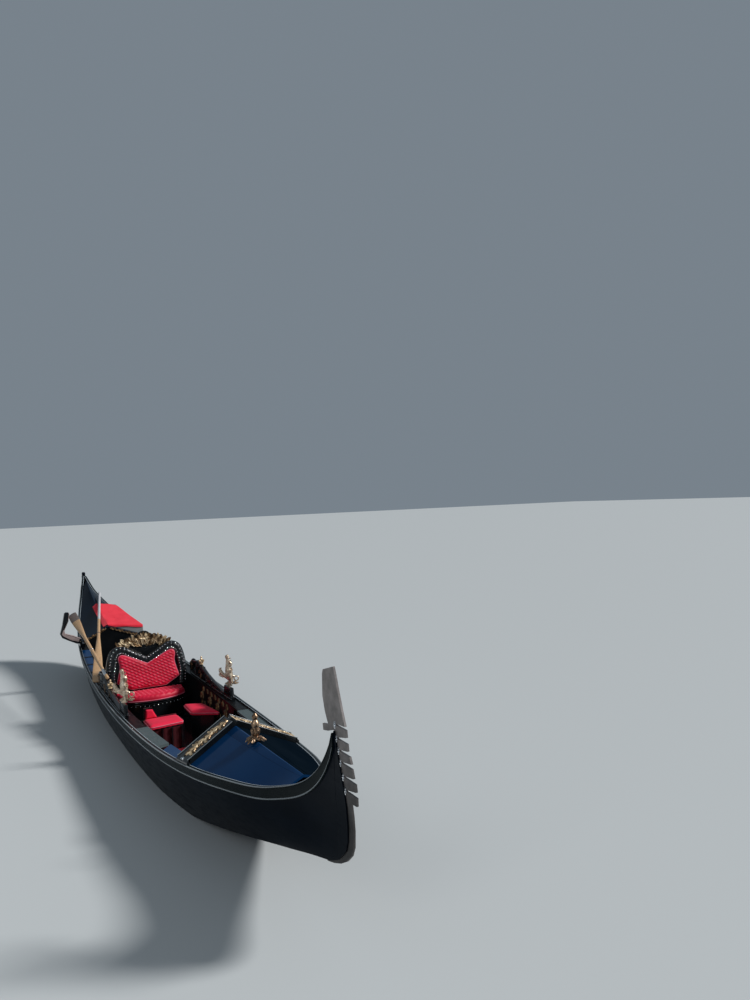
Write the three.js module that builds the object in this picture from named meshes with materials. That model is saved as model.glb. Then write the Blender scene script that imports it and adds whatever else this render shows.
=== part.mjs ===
// A gondola boat: a flat bottomed rowing boat, decked at both ends, fuller on its port side.
// Millimetres. +X towards the bow, +Y to port, +Z up. The origin is under the flat bottom,
// on the straight line from stem to sternpost.
import * as THREE from "three";

// Hull sections. x: place along the boat. sheer: height of the gunwale's top edge.
// starboard, port: half breadth over the rubbing band. floor: bottom's share of the half breadth.
const SECTIONS = [
  { x: -5530, sheer: 1600, starboard: 44, port: 42, floor: 0.75 },
  { x: -5150, sheer: 1372, starboard: 117, port: 132, floor: 0.36 },
  { x: -4600, sheer: 1144, starboard: 227, port: 280, floor: 0.38 },
  { x: -3800, sheer: 914, starboard: 359, port: 467, floor: 0.48 },
  { x: -2800, sheer: 744, starboard: 470, port: 647, floor: 0.58 },
  { x: -1500, sheer: 637, starboard: 540, port: 765, floor: 0.65 },
  { x: 0, sheer: 601, starboard: 568, port: 782, floor: 0.66 },
  { x: 1500, sheer: 618, starboard: 545, port: 728, floor: 0.65 },
  { x: 2800, sheer: 678, starboard: 468, port: 618, floor: 0.58 },
  { x: 3700, sheer: 766, starboard: 341, port: 471, floor: 0.48 },
  { x: 4400, sheer: 880, starboard: 178, port: 268, floor: 0.38 },
  { x: 4850, sheer: 1084, starboard: 58, port: 88, floor: 0.4 },
  { x: 5040, sheer: 1312, starboard: 32, port: 36, floor: 0.7 },
  { x: 5075, sheer: 1388, starboard: 30, port: 30, floor: 0.75 },
];
const AFT_END = -5530;
const FORE_END = 5075;

// The bottom is flat amidships and rises in a curve to each end
const FLAT = { aft: -2200, fore: 1800 };
const BOW_RISE = { height: 590, length: 3280, power: 1.3 };
const BOW_SWEEP = { start: 4880, length: 195, height: 25 };
const STERN_RISE = { height: 530, length: 2700, power: 1.6 };
const STERN_SWEEP = { start: -4900, length: 480, height: 300 };
// Aft of here the sections lean, so that the sternpost rakes
const STERN_RAKE = { start: -4600, slope: 0.16 };

const GAP = 0.3;
const FIT = 0.8;
const PLANK = 18;
const BAND = { proud: 14, height: 78, cap: 16, reach: 26 };
const SIDE_BULGE = 22;
// The sides are bowed to the full where the hull is at least this broad
const FULL_BREADTH = 700;
const SIDES = [
  { name: "starboard", sign: -1 },
  { name: "port", sign: 1 },
];
const PLANK_JOINTS = { aft: -2300, fore: 1900 };

const FORE_DECK = { aft: 2960, fore: 4550, ridgeAft: 950, ridgeFore: 972, thick: 16 };
const BORDER = { aft: 2900, fore: 3130, thick: 52, footThick: 26, clear: 1.5 };
const AFT_DECK = { fore: -3080, aft: -5230, crownFore: 205, crownAft: 130, thick: 16 };
const PLATFORM = { aft: -4230, fore: -3150, ridge: 12, edge: 36, lift: 6, slope: 0.12, carpet: 9 };
const FLOOR = { top: 158, thick: 18, clear: 62 };
const WELL = { aft: -3040, fore: 2955 };

// The couch: its middle lies on the middle of the hull's breadth
const COUCH = { y: 80, seatTop: 500, seatBack: -625, recline: 10 };

const COLOURS = {
  black: [0x0b0d10, 0.25, 0],
  deck: [0x0a1c33, 0.12, 0],
  moulding: [0x15181b, 0.3, 0],
  iron: [0x5d5f62, 0.4, 0.8],
  brass: [0xb08a45, 0.35, 0.9],
  gilt: [0xb89455, 0.45, 0.7],
  red: [0xb3091f, 0.8, 0],
  carpet: [0xd0202c, 0.95, 0],
  grey: [0x59625d, 0.8, 0],
  oak: [0xb08a5e, 0.6, 0],
};

const lerp = THREE.MathUtils.lerp;
const COLUMNS = ["sheer", "starboard", "port", "floor"];
const curve = new THREE.CubicInterpolant(
  SECTIONS.map((s) => s.x),
  SECTIONS.flatMap((s) => COLUMNS.map((c) => s[c])),
  COLUMNS.length,
);

function bottomHeight(x) {
  const bow = Math.max(0, x - FLAT.fore) / BOW_RISE.length;
  const stern = Math.max(0, FLAT.aft - x) / STERN_RISE.length;
  const bowSweep = Math.max(0, x - BOW_SWEEP.start) / BOW_SWEEP.length;
  const sternSweep = Math.max(0, STERN_SWEEP.start - x) / STERN_SWEEP.length;
  return (
    BOW_RISE.height * bow ** BOW_RISE.power +
    BOW_SWEEP.height * bowSweep ** 2 +
    STERN_RISE.height * stern ** STERN_RISE.power +
    STERN_SWEEP.height * sternSweep ** 2
  );
}

function fairSection(x) {
  const [sheer, starboard, port, floor] = curve.evaluate(x);
  const keelX = x + STERN_RAKE.slope * Math.max(0, STERN_RAKE.start - x);
  const bottom = bottomHeight(keelX);
  const [s, p] = [starboard - BAND.proud, port - BAND.proud];
  return {
    x,
    keelX,
    bottom,
    sheer,
    top: sheer - BAND.cap,
    starboard: s,
    port: p,
    starboardFloor: s * floor,
    portFloor: p * floor,
    bulge: Math.min(1, (s + p) / FULL_BREADTH),
    floorTop: Math.max(FLOOR.top, bottom + FLOOR.clear),
  };
}

// Frame stations. Every long piece has its rings here, so that neighbours share their facets.
const SPACING = [
  { from: AFT_END, to: -4400, pitch: 160 },
  { from: -4400, to: FLAT.aft, pitch: 320 },
  { from: FLAT.aft, to: FLAT.fore, pitch: 400 },
  { from: FLAT.fore, to: BORDER.aft, pitch: 320 },
  { from: BORDER.aft, to: BORDER.fore, pitch: 90 },
  { from: BORDER.fore, to: 3900, pitch: 300 },
  { from: 3900, to: 4700, pitch: 140 },
  { from: 4700, to: FORE_END, pitch: 80 },
];
const STATIONS = [...new Set(SPACING.flatMap(({ from, to, pitch }) => evenly(from, to, pitch)))];
const FAIR = STATIONS.map(fairSection);

function evenly(from, to, pitch) {
  const count = Math.max(1, Math.round((to - from) / pitch));
  return Array.from({ length: count + 1 }, (_, i) => lerp(from, to, i / count));
}

// The hull's section at any place, in straight lines between the frame stations
function section(x) {
  const next = FAIR.findIndex((s, i) => i > 0 && (s.x >= x || i === FAIR.length - 1));
  const [a, b] = [FAIR[next - 1], FAIR[next]];
  const t = (x - a.x) / (b.x - a.x);
  return Object.fromEntries(Object.keys(a).map((key) => [key, lerp(a[key], b[key], t)]));
}

const along = (from, to) => [from, ...STATIONS.filter((x) => x > from + 5 && x < to - 5), to];

// Three lengths from end to end of the hull, with a gap at each joint
function lengths({ aft, fore }) {
  return [
    { name: "aft", from: AFT_END, to: aft },
    { name: "middle", from: aft + GAP, to: fore - GAP },
    { name: "fore", from: fore, to: FORE_END },
  ];
}

const halfBreadth = (s, sign) => (sign > 0 ? s.port : s.starboard);

// Outer face of the side planks. share is 0 at the bottom edge and 1 at the top edge, and the
// last share before 1 is the lower edge of the rubbing band.
const sideShares = (s) => [0, 0.3, 0.6, 1 - BAND.height / (s.top - s.bottom), 1];

function sideY(s, sign, share) {
  const half = halfBreadth(s, sign);
  const floor = sign > 0 ? s.portFloor : s.starboardFloor;
  const shares = sideShares(s);
  const at = Math.max(0, shares.findIndex((t, i) => i === 3 || share <= shares[i + 1]));
  const [low, high] = [shares[at], shares[at + 1]];
  const ends = [low, high].map((t) => lerp(floor, half, t) + SIDE_BULGE * s.bulge * Math.sin(Math.PI * t));
  return lerp(...ends, (share - low) / (high - low));
}

function sidePoint(s, sign, share, inset = 0) {
  const y = Math.max(sideY(s, sign, share) - inset, 2);
  return new THREE.Vector3(lerp(s.keelX, s.x, share), sign * y, lerp(s.bottom, s.top, share));
}

// Inner face of the side planks at a height
function innerY(s, sign, z) {
  return sideY(s, sign, (z - s.bottom) / (s.top - s.bottom)) - PLANK;
}

// Inner edge of the gunwale's cap
const capInner = (s, sign) => Math.max(halfBreadth(s, sign) - BAND.reach, 2);

// A closed body from rings with equal numbers of points. plane names the two coordinates
// in which the end rings are flat enough to fill.
function loft(rings, plane = "yz") {
  const [u, v] = plane;
  const triangles = [];
  const count = rings[0].length;
  for (let i = 0; i + 1 < rings.length; i++) {
    for (let j = 0; j < count; j++) {
      const k = (j + 1) % count;
      triangles.push([rings[i][j], rings[i][k], rings[i + 1][k]]);
      triangles.push([rings[i][j], rings[i + 1][k], rings[i + 1][j]]);
    }
  }
  for (const end of [0, rings.length - 1]) {
    const ring = rings[end];
    const flat = ring.map((p) => new THREE.Vector2(p[u], p[v]));
    const turn = Math.sign(THREE.ShapeUtils.area(flat));
    for (const [a, b, c] of THREE.ShapeUtils.triangulateShape(flat, [])) {
      const same = Math.sign(THREE.ShapeUtils.area([flat[a], flat[b], flat[c]])) === turn;
      const forward = end === 0 ? !same : same;
      triangles.push(forward ? [ring[a], ring[b], ring[c]] : [ring[a], ring[c], ring[b]]);
    }
  }
  const volume = triangles.reduce((sum, [a, b, c]) => sum + a.dot(b.clone().cross(c)), 0);
  const points = triangles.flatMap(([a, b, c]) => (volume > 0 ? [a, b, c] : [a, c, b]));
  const geometry = new THREE.BufferGeometry().setFromPoints(points);
  geometry.computeVertexNormals();
  return geometry;
}

const vector = (x, y, z) => new THREE.Vector3(x, y, z);

// Flat outlines are drawn in two of the axes and extruded along the third
const PLANES = {
  xz: [vector(1, 0, 0), vector(0, 0, 1), vector(0, -1, 0)],
  yz: [vector(0, 1, 0), vector(0, 0, 1), vector(1, 0, 0)],
  xy: [vector(1, 0, 0), vector(0, 1, 0), vector(0, 0, 1)],
};

function plate(shape, plane, middle, thick, bevel = 0, segments = 8) {
  const geometry = new THREE.ExtrudeGeometry(shape, {
    depth: thick - 2 * bevel,
    bevelEnabled: bevel > 0,
    bevelSize: bevel,
    bevelThickness: bevel,
    bevelOffset: -bevel,
    bevelSegments: 2,
    curveSegments: segments,
  });
  geometry.translate(0, 0, bevel - thick / 2);
  geometry.applyMatrix4(new THREE.Matrix4().makeBasis(...PLANES[plane]));
  const [dx, dy, dz] = PLANES[plane][2].toArray().map(Math.abs);
  return geometry.translate(dx * middle, dy * middle, dz * middle);
}

const outline = (points) => new THREE.Shape(points.map(([u, v]) => new THREE.Vector2(u, v)));

// An outline that mirrors its right half: a smooth curve from the top middle through the
// half's points, then straight lines through the foot's points
function mirrored(half, foot, centre, steps = 2) {
  const right = new THREE.SplineCurve(half.map(([u, v]) => new THREE.Vector2(u, v)));
  const points = right.getPoints((half.length - 1) * steps);
  points.push(...foot.map(([u, v]) => new THREE.Vector2(u, v)));
  const left = points.slice(1).map((p) => new THREE.Vector2(-p.x, p.y));
  const all = [...points, ...left.reverse()];
  return new THREE.Shape(all.map((p) => new THREE.Vector2(p.x + centre, p.y)));
}

const boat = new THREE.Group();

function add(name, geometry, colour) {
  const [color, roughness, metalness] = COLOURS[colour];
  const material = new THREE.MeshStandardMaterial({ color, roughness, metalness });
  const mesh = new THREE.Mesh(geometry, material);
  mesh.name = name;
  boat.add(mesh);
  return mesh;
}

// Hull bottom, in three lengths
const BOTTOM_JOINTS = { aft: -3000, fore: 2600 };

function bottomRing(x) {
  const s = section(x);
  const share = PLANK / (s.top - s.bottom);
  return [
    sidePoint(s, -1, 0),
    sidePoint(s, 1, 0),
    sidePoint(s, 1, share),
    sidePoint(s, -1, share),
  ];
}

function addBottom() {
  for (const { name, from, to } of lengths(BOTTOM_JOINTS)) {
    add(`hull_bottom_${name}`, loft(along(from, to).map(bottomRing)), "black");
  }
}

// Side planking, in three lengths a side
function plankRing(x, sign) {
  const s = section(x);
  const first = (PLANK + GAP) / (s.top - s.bottom);
  const shares = [first, ...sideShares(s).slice(1)];
  const outer = shares.map((share) => sidePoint(s, sign, share));
  const inner = shares.map((share) => sidePoint(s, sign, share, PLANK));
  return [...outer, ...inner.reverse()];
}

function addPlanks() {
  for (const side of SIDES) {
    for (const part of lengths(PLANK_JOINTS)) {
      const rings = along(part.from, part.to).map((x) => plankRing(x, side.sign));
      add(`side_planks_${side.name}_${part.name}`, loft(rings), "black");
    }
  }
}

// Rubbing band and gunwale cap in one, with a moulding along each edge of the band.
// out: offset from the plank's outer face. up: height above the plank's top edge.
const BAND_PROFILE = [
  { out: 9, up: 16 },
  { out: 14, up: 11 },
  { out: 14, up: -3 },
  { out: 9, up: -8 },
  { out: 9, up: -64 },
  { out: 14, up: -68 },
  { out: 14, up: -76 },
  { out: 9, up: -80 },
];

function bandRing(x, sign) {
  const s = section(x);
  const height = s.top - s.bottom;
  const inner = capInner(s, sign);
  const at = (out, up) => {
    const p = sidePoint(s, sign, 1 + Math.min(up, 0) / height);
    return vector(p.x, p.y + sign * out, p.z + Math.max(up, 0));
  };
  return [
    at(GAP, -BAND.height),
    at(GAP, GAP),
    vector(x, sign * inner, s.top + GAP),
    vector(x, sign * inner, s.sheer),
    ...BAND_PROFILE.map(({ out, up }) => at(out, up)),
  ];
}

function addBands() {
  const xs = along(AFT_END, FORE_END);
  for (const side of SIDES) {
    add(`gunwale_${side.name}`, loft(xs.map((x) => bandRing(x, side.sign))), "moulding");
  }
}

// Stem: a flush plate whose front edge leans forward and curves in to the bottom
const STEM = { back: FORE_END + GAP, top: 1397, thick: 29 };
const STEM_FRONT = [
  [5088, STEM.top],
  [5105, 1325],
  [5120, 1279],
  [5157, 1166],
  [5193, 1054],
  [5213, 979],
  [5222, 859],
  [5217, 776],
  [5190, 709],
  [5110, 640],
  [STEM.back, 616],
];

function addStem() {
  const shape = outline([[STEM.back, STEM.top], ...STEM_FRONT]);
  add("stem", plate(shape, "xz", 0, STEM.thick), "black");
}

// A line moved sideways, to the left of its own direction
function moved(line, distance) {
  return line.map(([u, v], i) => {
    const [before, after] = [line[Math.max(i - 1, 0)], line[Math.min(i + 1, line.length - 1)]];
    const [du, dv] = [after[0] - before[0], after[1] - before[1]];
    const long = Math.hypot(du, dv);
    return [u - (distance * dv) / long, v + (distance * du) / long];
  });
}

// Bow iron: an upright blade, six teeth that point forward, one that points aft,
// and a strap down the front of the stem to the bottom
const IRON = { thick: 14, slit: 8, strapEnd: 4884 };
const IRON_BLADE = [
  [5060, STEM.top + GAP],
  [4988, 1375],
  [4916, 1363],
  [4910, 1404],
  [4992, 1418],
  [4974, 1445],
  [4949, 1491],
  [4922, 1580],
  [4926, 1658],
  [4929, 1719],
  [4942, 1747],
  [5091, 1790],
  [5110, 1743],
  [5140, 1658],
  [5185, 1544],
  [5223, 1455],
];

// The forward teeth: their tips' top and low corner, and the root of the slit above each
const IRON_TEETH = [
  { top: [5231, 1437], low: [5236, 1393], root: 5100 },
  { top: [5242, 1358], low: [5247, 1315], root: 5111 },
  { top: [5271, 1290], low: [5289, 1251], root: 5136 },
  { top: [5292, 1224], low: [5311, 1173], root: 5156 },
  { top: [5329, 1147], low: [5336, 1102], root: 5184 },
  { top: [5340, 1071], low: [5340, 1022], root: 5208 },
];
const IRON_STRAP = [
  [5265, 1018],
  [5281, 939],
  [5287, 861],
  [5278, 761],
  [5246, 700],
  [5178, 641],
  [5100, 599],
  [5001, 563],
  [4910, 540],
];

function addBowIron() {
  const teeth = IRON_TEETH.flatMap(({ top, low, root }) => {
    return [[root, top[1] + IRON.slit], [root, top[1]], top, low];
  });
  const underHull = along(IRON.strapEnd, FORE_END).map((x) => [x, section(x).bottom - GAP]);
  const corner = [FORE_END + 2 * GAP, section(FORE_END).bottom - GAP];
  const overStem = moved(STEM_FRONT, 2 * GAP).slice(1).reverse();
  const top = [STEM_FRONT[0][0] + 2 * GAP, STEM.top + GAP];
  const points = [...IRON_BLADE, ...teeth, ...IRON_STRAP, ...underHull, corner, ...overStem, top];
  add("bow_iron", plate(outline(points), "xz", 0, IRON.thick), "iron");
}

// Sternpost, against the raked end of the planks, and the iron along its edge
const STERNPOST = { thick: 54, clear: 1, from: 0.02, to: 1.05 };
const STERN_EDGE = [
  [-5446, 985],
  [-5478, 1100],
  [-5532, 1340],
  [-5566, 1500],
  [-5592, 1640],
];
const STERN_TIP = [
  [-5586, 1662],
  [-5552, 1660],
  [-5528, 1640],
];
const STERN_IRON = { thick: 30, deep: 10, drop: 2, top: [-5600, 1668] };

function addSternpost() {
  const s = section(AFT_END);
  const fore = (t) => [lerp(s.keelX, s.x, t) - STERNPOST.clear, lerp(s.bottom, s.top, t)];
  const post = [fore(STERNPOST.from), ...STERN_EDGE, ...STERN_TIP, fore(STERNPOST.to)];
  add("sternpost", plate(outline(post), "xz", 0, STERNPOST.thick), "black");
  const strap = [...STERN_EDGE.map(([x, z]) => [x - GAP, z]), STERN_IRON.top];
  const back = strap.map(([x, z]) => [x - STERN_IRON.deep, z - STERN_IRON.drop]).reverse();
  add("stern_iron", plate(outline([...strap, ...back]), "xz", 0, STERN_IRON.thick), "iron");
}

// Cambered decks: two slopes that meet in a ridge over the middle line
function ridgeHeight(x, deck) {
  if (deck === FORE_DECK) {
    return lerp(deck.ridgeAft, deck.ridgeFore, (x - deck.aft) / (deck.fore - deck.aft));
  }
  const t = (deck.fore - x) / (deck.fore - deck.aft);
  return section(x).sheer + lerp(deck.crownFore, deck.crownAft, t ** 2);
}

function deckTop(x, y, deck) {
  const s = section(x);
  const edge = capInner(s, Math.sign(y) || 1) - GAP;
  const ridge = ridgeHeight(x, deck);
  return lerp(ridge, s.sheer, Math.min(1, Math.abs(y) / edge));
}

function deckRing(x, deck) {
  const s = section(x);
  const [a, b] = [-1, 1].map((sign) => sign * (capInner(s, sign) - GAP));
  const ridge = ridgeHeight(x, deck);
  return [
    vector(x, a, s.sheer - deck.thick),
    vector(x, 0, ridge - deck.thick - 3),
    vector(x, b, s.sheer - deck.thick),
    vector(x, b, s.sheer),
    vector(x, 0, ridge),
    vector(x, a, s.sheer),
  ];
}

function addDecks() {
  const fore = along(FORE_DECK.aft, FORE_DECK.fore);
  const aft = along(AFT_DECK.aft, AFT_DECK.fore);
  add("fore_deck", loft(fore.map((x) => deckRing(x, FORE_DECK))), "deck");
  add("aft_deck", loft(aft.map((x) => deckRing(x, AFT_DECK))), "deck");
}

// Solid block between the gunwales, ahead of the fore deck's tip
const BREASTHOOK = { aft: FORE_DECK.fore + 3, fore: 4916, low: 36, drop: 4, crown: 6 };

function addBreasthook() {
  const rings = along(BREASTHOOK.aft, BREASTHOOK.fore).map((x) => {
    const s = section(x);
    const [a, b] = [-1, 1].map((sign) => sign * (capInner(s, sign) - GAP));
    const [low, high] = [s.sheer - BREASTHOOK.low, s.sheer - BREASTHOOK.drop];
    return [
      vector(x, a, low),
      vector(x, b, low),
      vector(x, b, high),
      vector(x, (a + b) / 2, high + BREASTHOOK.crown),
      vector(x, a, high),
    ];
  });
  add("breasthook", loft(rings), "moulding");
}

// Boards that close the hull under the inner ends of the decks
function bulkheadRing(x, deck) {
  const s = section(x);
  const low = s.bottom + PLANK + GAP;
  const high = s.top - 2;
  const half = (sign) =>
    [0, 0.35, 0.7, 1].map((t) => {
      const z = lerp(low, high, t);
      return vector(x, sign * (innerY(s, sign, z) - FIT), z);
    });
  const under = (y) => deckTop(x, y, deck) - deck.thick - 4;
  const shoulder = (sign) => vector(x, sign * (capInner(s, sign) - 6), high);
  const top = [shoulder(-1), vector(x, 0, under(0.01)), shoulder(1)];
  return [...half(-1), ...top, ...half(1).reverse()];
}

function addBulkheads() {
  const places = [
    { name: "fore_bulkhead", from: 2964, to: 2982, deck: FORE_DECK },
    { name: "aft_bulkhead", from: -3104, to: -3086, deck: AFT_DECK },
  ];
  for (const { name, from, to, deck } of places) {
    add(name, loft([from, to].map((x) => bulkheadRing(x, deck))), "black");
  }
}

// The fore deck's aft border: a raised board up each slope, its foot over the gunwale's cap
function borderPlaces(s, sign) {
  const edge = capInner(s, sign);
  const foot = halfBreadth(s, sign) + 3;
  return [
    { y: foot, onCap: true, thick: BORDER.footThick },
    { y: lerp(edge, foot, 0.4), onCap: true, thick: BORDER.thick },
    { y: edge, onCap: true, thick: BORDER.thick },
    { y: edge - 4, thick: BORDER.thick },
    { y: (edge - 4) / 2, thick: BORDER.thick },
    { y: 1, thick: BORDER.thick },
  ];
}

function addBorder() {
  const sides = [BORDER.aft, BORDER.fore];
  for (const { name, sign } of SIDES) {
    const [aft, fore] = sides.map((x) => {
      const s = section(x);
      return borderPlaces(s, sign).map(({ y, onCap, thick }) => {
        const onDeck = deckTop(Math.max(x, FORE_DECK.aft), sign * y, FORE_DECK);
        const low = onCap ? s.sheer + GAP : Math.max(onDeck, s.sheer) + BORDER.clear;
        return [vector(x, sign * y, low), vector(x, sign * y, low + thick)];
      });
    });
    const rings = aft.map((pair, i) => [...pair, ...fore[i].reverse()]);
    add(`border_board_${name}`, loft(rings, "xz"), "black");
  }
}

// Standing platform: a level box on the aft deck's port slope, with a carpet on it
function platformRing(x) {
  const s = section(x);
  const ridge = ridgeHeight(x, AFT_DECK) + PLATFORM.lift;
  const edge = halfBreadth(s, 1) - PLATFORM.edge;
  const onDeck = (y) => vector(x, y, deckTop(x, y, AFT_DECK) + GAP);
  return [
    onDeck(PLATFORM.ridge),
    onDeck(edge),
    vector(x, edge, ridge - PLATFORM.slope * edge),
    vector(x, PLATFORM.ridge, ridge),
  ];
}

function addPlatform() {
  const boxes = along(PLATFORM.aft, PLATFORM.fore).map(platformRing);
  add("standing_platform", loft(boxes), "grey");
  const carpets = boxes.map(([, , edge, ridge]) =>
    [[ridge, GAP], [edge, GAP], [edge, PLATFORM.carpet], [ridge, PLATFORM.carpet]].map(([p, up]) =>
      vector(p.x, p.y, p.z + up),
    ),
  );
  add("platform_carpet", loft(carpets), "carpet");
}

// Boards along the inside of the gunwale, under its cap. aft, fore: their ends at the outer and
// at the inner edge.
const SIDE_BOARDS = [
  { name: "side_deck", aft: [-3040, -3040], fore: [1447, 1447], wide: 130, thick: 22, colour: "black" },
  { name: "side_board_aft", aft: [1450, 1450], fore: [1875, 1875], wide: 140, thick: 24, colour: "grey" },
  { name: "side_board_fore", aft: [1878, 1878], fore: [2250, 2200], wide: 140, thick: 24, colour: "grey" },
  { name: "corner_board", aft: [2445, 2250], fore: [2894, 2894], wide: 140, thick: 22, colour: "deck" },
];

function boardRing([outerX, innerX], sign, { wide, thick }) {
  const edge = (x, inset) => {
    const s = section(x);
    return [s.top, s.top - thick].map((z) => vector(x, sign * (innerY(s, sign, z) - FIT - inset), z));
  };
  const [outerTop, outerLow] = edge(outerX, 0);
  const [innerTop, innerLow] = edge(innerX, wide);
  return [outerTop, outerLow, innerLow.setY(innerTop.y), innerTop];
}

function addSideBoards() {
  for (const side of SIDES) {
    for (const board of SIDE_BOARDS) {
      const between = along(Math.max(...board.aft), Math.min(...board.fore)).slice(1, -1);
      const ends = [board.aft, ...between.map((x) => [x, x]), board.fore];
      const rings = ends.map((pair) => boardRing(pair, side.sign, board));
      add(`${board.name}_${side.name}`, loft(rings), board.colour);
    }
  }
}

// Floor timbers on the hull's flat: a spine with cross pieces to both sides, cut as one frame
const TIMBERS = { aft: -2100, fore: 1700, count: 8, wide: 60, spine: 45 };

function addTimbers() {
  const low = PLANK + GAP;
  const high = FLOOR.top - FLOOR.thick - GAP;
  const sideOf = (sign) => {
    const points = [];
    for (const x of evenly(TIMBERS.aft, TIMBERS.fore, (TIMBERS.fore - TIMBERS.aft) / (TIMBERS.count - 1))) {
      const ends = [x, x + TIMBERS.wide];
      const reach = Math.min(...ends.map((end) => innerY(section(end), sign, low))) - FIT;
      points.push([ends[0], sign * TIMBERS.spine], [ends[0], sign * reach]);
      points.push([ends[1], sign * reach], [ends[1], sign * TIMBERS.spine]);
    }
    return points;
  };
  const frame = outline([...sideOf(-1), ...sideOf(1).reverse()]);
  add("floor_timbers", plate(frame, "xy", (low + high) / 2, high - low), "oak");
}

// Floor boards, and the carpet on them
const FLOOR_CARPET = { aft: 960, fore: 2880, thick: 8, inset: 40 };

function floorRing(x, low, high, inset) {
  const s = section(x);
  const [z0, z1] = [s.floorTop + low, s.floorTop + high];
  const y = (sign, z) => sign * (innerY(s, sign, z) - inset);
  return [
    vector(x, y(-1, z0), z0),
    vector(x, y(1, z0), z0),
    vector(x, y(1, z1), z1),
    vector(x, y(-1, z1), z1),
  ];
}

function addFloor() {
  const boards = along(WELL.aft, WELL.fore).map((x) => floorRing(x, -FLOOR.thick, 0, 1.5));
  add("floor_boards", loft(boards), "black");
  const { aft, fore, thick, inset } = FLOOR_CARPET;
  const carpet = along(aft, fore).map((x) => floorRing(x, GAP, thick, inset));
  add("floor_carpet", loft(carpet), "red");
}

// Panels between the floor and the side decks, beside the seats
const LINING = { from: -960, to: 1240, thick: 20, inset: 14 };

function addLining() {
  for (const side of SIDES) {
    const rings = along(LINING.from, LINING.to).map((x) => {
      const s = section(x);
      const low = s.floorTop + GAP;
      const high = s.top - SIDE_BOARDS[0].thick - GAP;
      const head = innerY(s, side.sign, s.top) - SIDE_BOARDS[0].wide + LINING.inset;
      const foot = innerY(s, side.sign, low) - LINING.thick - FIT;
      const at = (y, z) => vector(x, side.sign * y, z);
      return [at(foot, low), at(foot + LINING.thick, low), at(head + LINING.thick, high), at(head, high)];
    });
    add(`lining_${side.name}`, loft(rings), "black");
  }
}

// Thwart across the after well
const THWART = { aft: -1640, fore: -1440, low: 400, high: 432 };

function addThwart() {
  const { low, high } = THWART;
  const rings = [THWART.aft, THWART.fore].map((x) => {
    const s = section(x);
    const y = (sign, z) => sign * (innerY(s, sign, z) - FIT);
    return [
      vector(x, y(-1, low), low),
      vector(x, y(1, low), low),
      vector(x, y(1, high), high),
      vector(x, y(-1, high), high),
    ];
  });
  add("aft_thwart", loft(rings), "black");
}

// Couch for two: a box seat with a bowed front, a heart shaped back, cushions,
// a board behind the back and a gilded crest on the board.
// COUCH_FRONT: the front edge from its middle to its side, as steps outwards and aft.
const COUCH_FRONT = [
  { out: 0, back: 0 },
  { out: 130, back: 16 },
  { out: 260, back: 62 },
  { out: 350, back: 124 },
  { out: 400, back: 190 },
];
const COUCH_PAD = { thick: 74, half: 404, front: -222, back: COUCH.seatBack + 12, bevel: 14 };
const COUCH_BASE = { half: 392, front: -236, back: COUCH.seatBack - 100 };

function couchPlan({ half, front, back }) {
  const scale = half / COUCH_FRONT.at(-1).out;
  const port = COUCH_FRONT.map((p) => new THREE.Vector2(front - p.back, p.out * scale));
  const starboard = port.slice(1).map((p) => new THREE.Vector2(p.x, -p.y));
  const bow = new THREE.SplineCurve([...starboard.reverse(), ...port]).getPoints(16);
  const points = [new THREE.Vector2(back, -half), ...bow, new THREE.Vector2(back, half)];
  return new THREE.Shape(points.map((p) => new THREE.Vector2(p.x, p.y + COUCH.y)));
}

function addCouch() {
  const { y, seatTop, seatBack, recline } = COUCH;
  const baseTop = seatTop - COUCH_PAD.thick;
  const foot = FLOOR.top + GAP;
  add("couch_base", plate(couchPlan(COUCH_BASE), "xy", (foot + baseTop) / 2, baseTop - foot), "black");
  const padHeight = COUCH_PAD.thick - GAP;
  const pad = plate(couchPlan(COUCH_PAD), "xy", seatTop - padHeight / 2, padHeight, COUCH_PAD.bevel);
  add("couch_seat", pad, "red");

  const backHalf = [
    [0, 876],
    [130, 955],
    [302, 1062],
    [432, 1015],
    [490, 860],
    [497, 700],
    [472, 580],
  ];
  const cushionHalf = [
    [0, 812],
    [150, 884],
    [300, 950],
    [352, 912],
    [338, 800],
    [386, 614],
  ];
  const back = mirrored(backHalf, [[468, 450], [462, 436]], y);
  const cushion = mirrored(cushionHalf, [[214, 516]], y);
  const tilt = THREE.MathUtils.degToRad(-recline);
  for (const [name, shape, middle, thick, bevel, colour] of [
    ["couch_back", back, -30, 60, 12, "black"],
    ["couch_back_cushion", cushion, 35 + GAP, 70, 16, "red"],
  ]) {
    const geometry = plate(shape, "yz", middle, thick, bevel);
    geometry.translate(0, 0, -seatTop);
    const mesh = add(name, geometry, colour);
    mesh.position.set(seatBack - 12, 0, seatTop);
    mesh.rotation.y = tilt;
  }
}

// Board behind the couch, and the crest on it
const CREST = { x: -850, thick: 40, high: 236 };
const REAR_BOARD = { thick: 24, top: 985, shoulder: 900, foot: 420, middle: 400, head: 340 };

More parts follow.
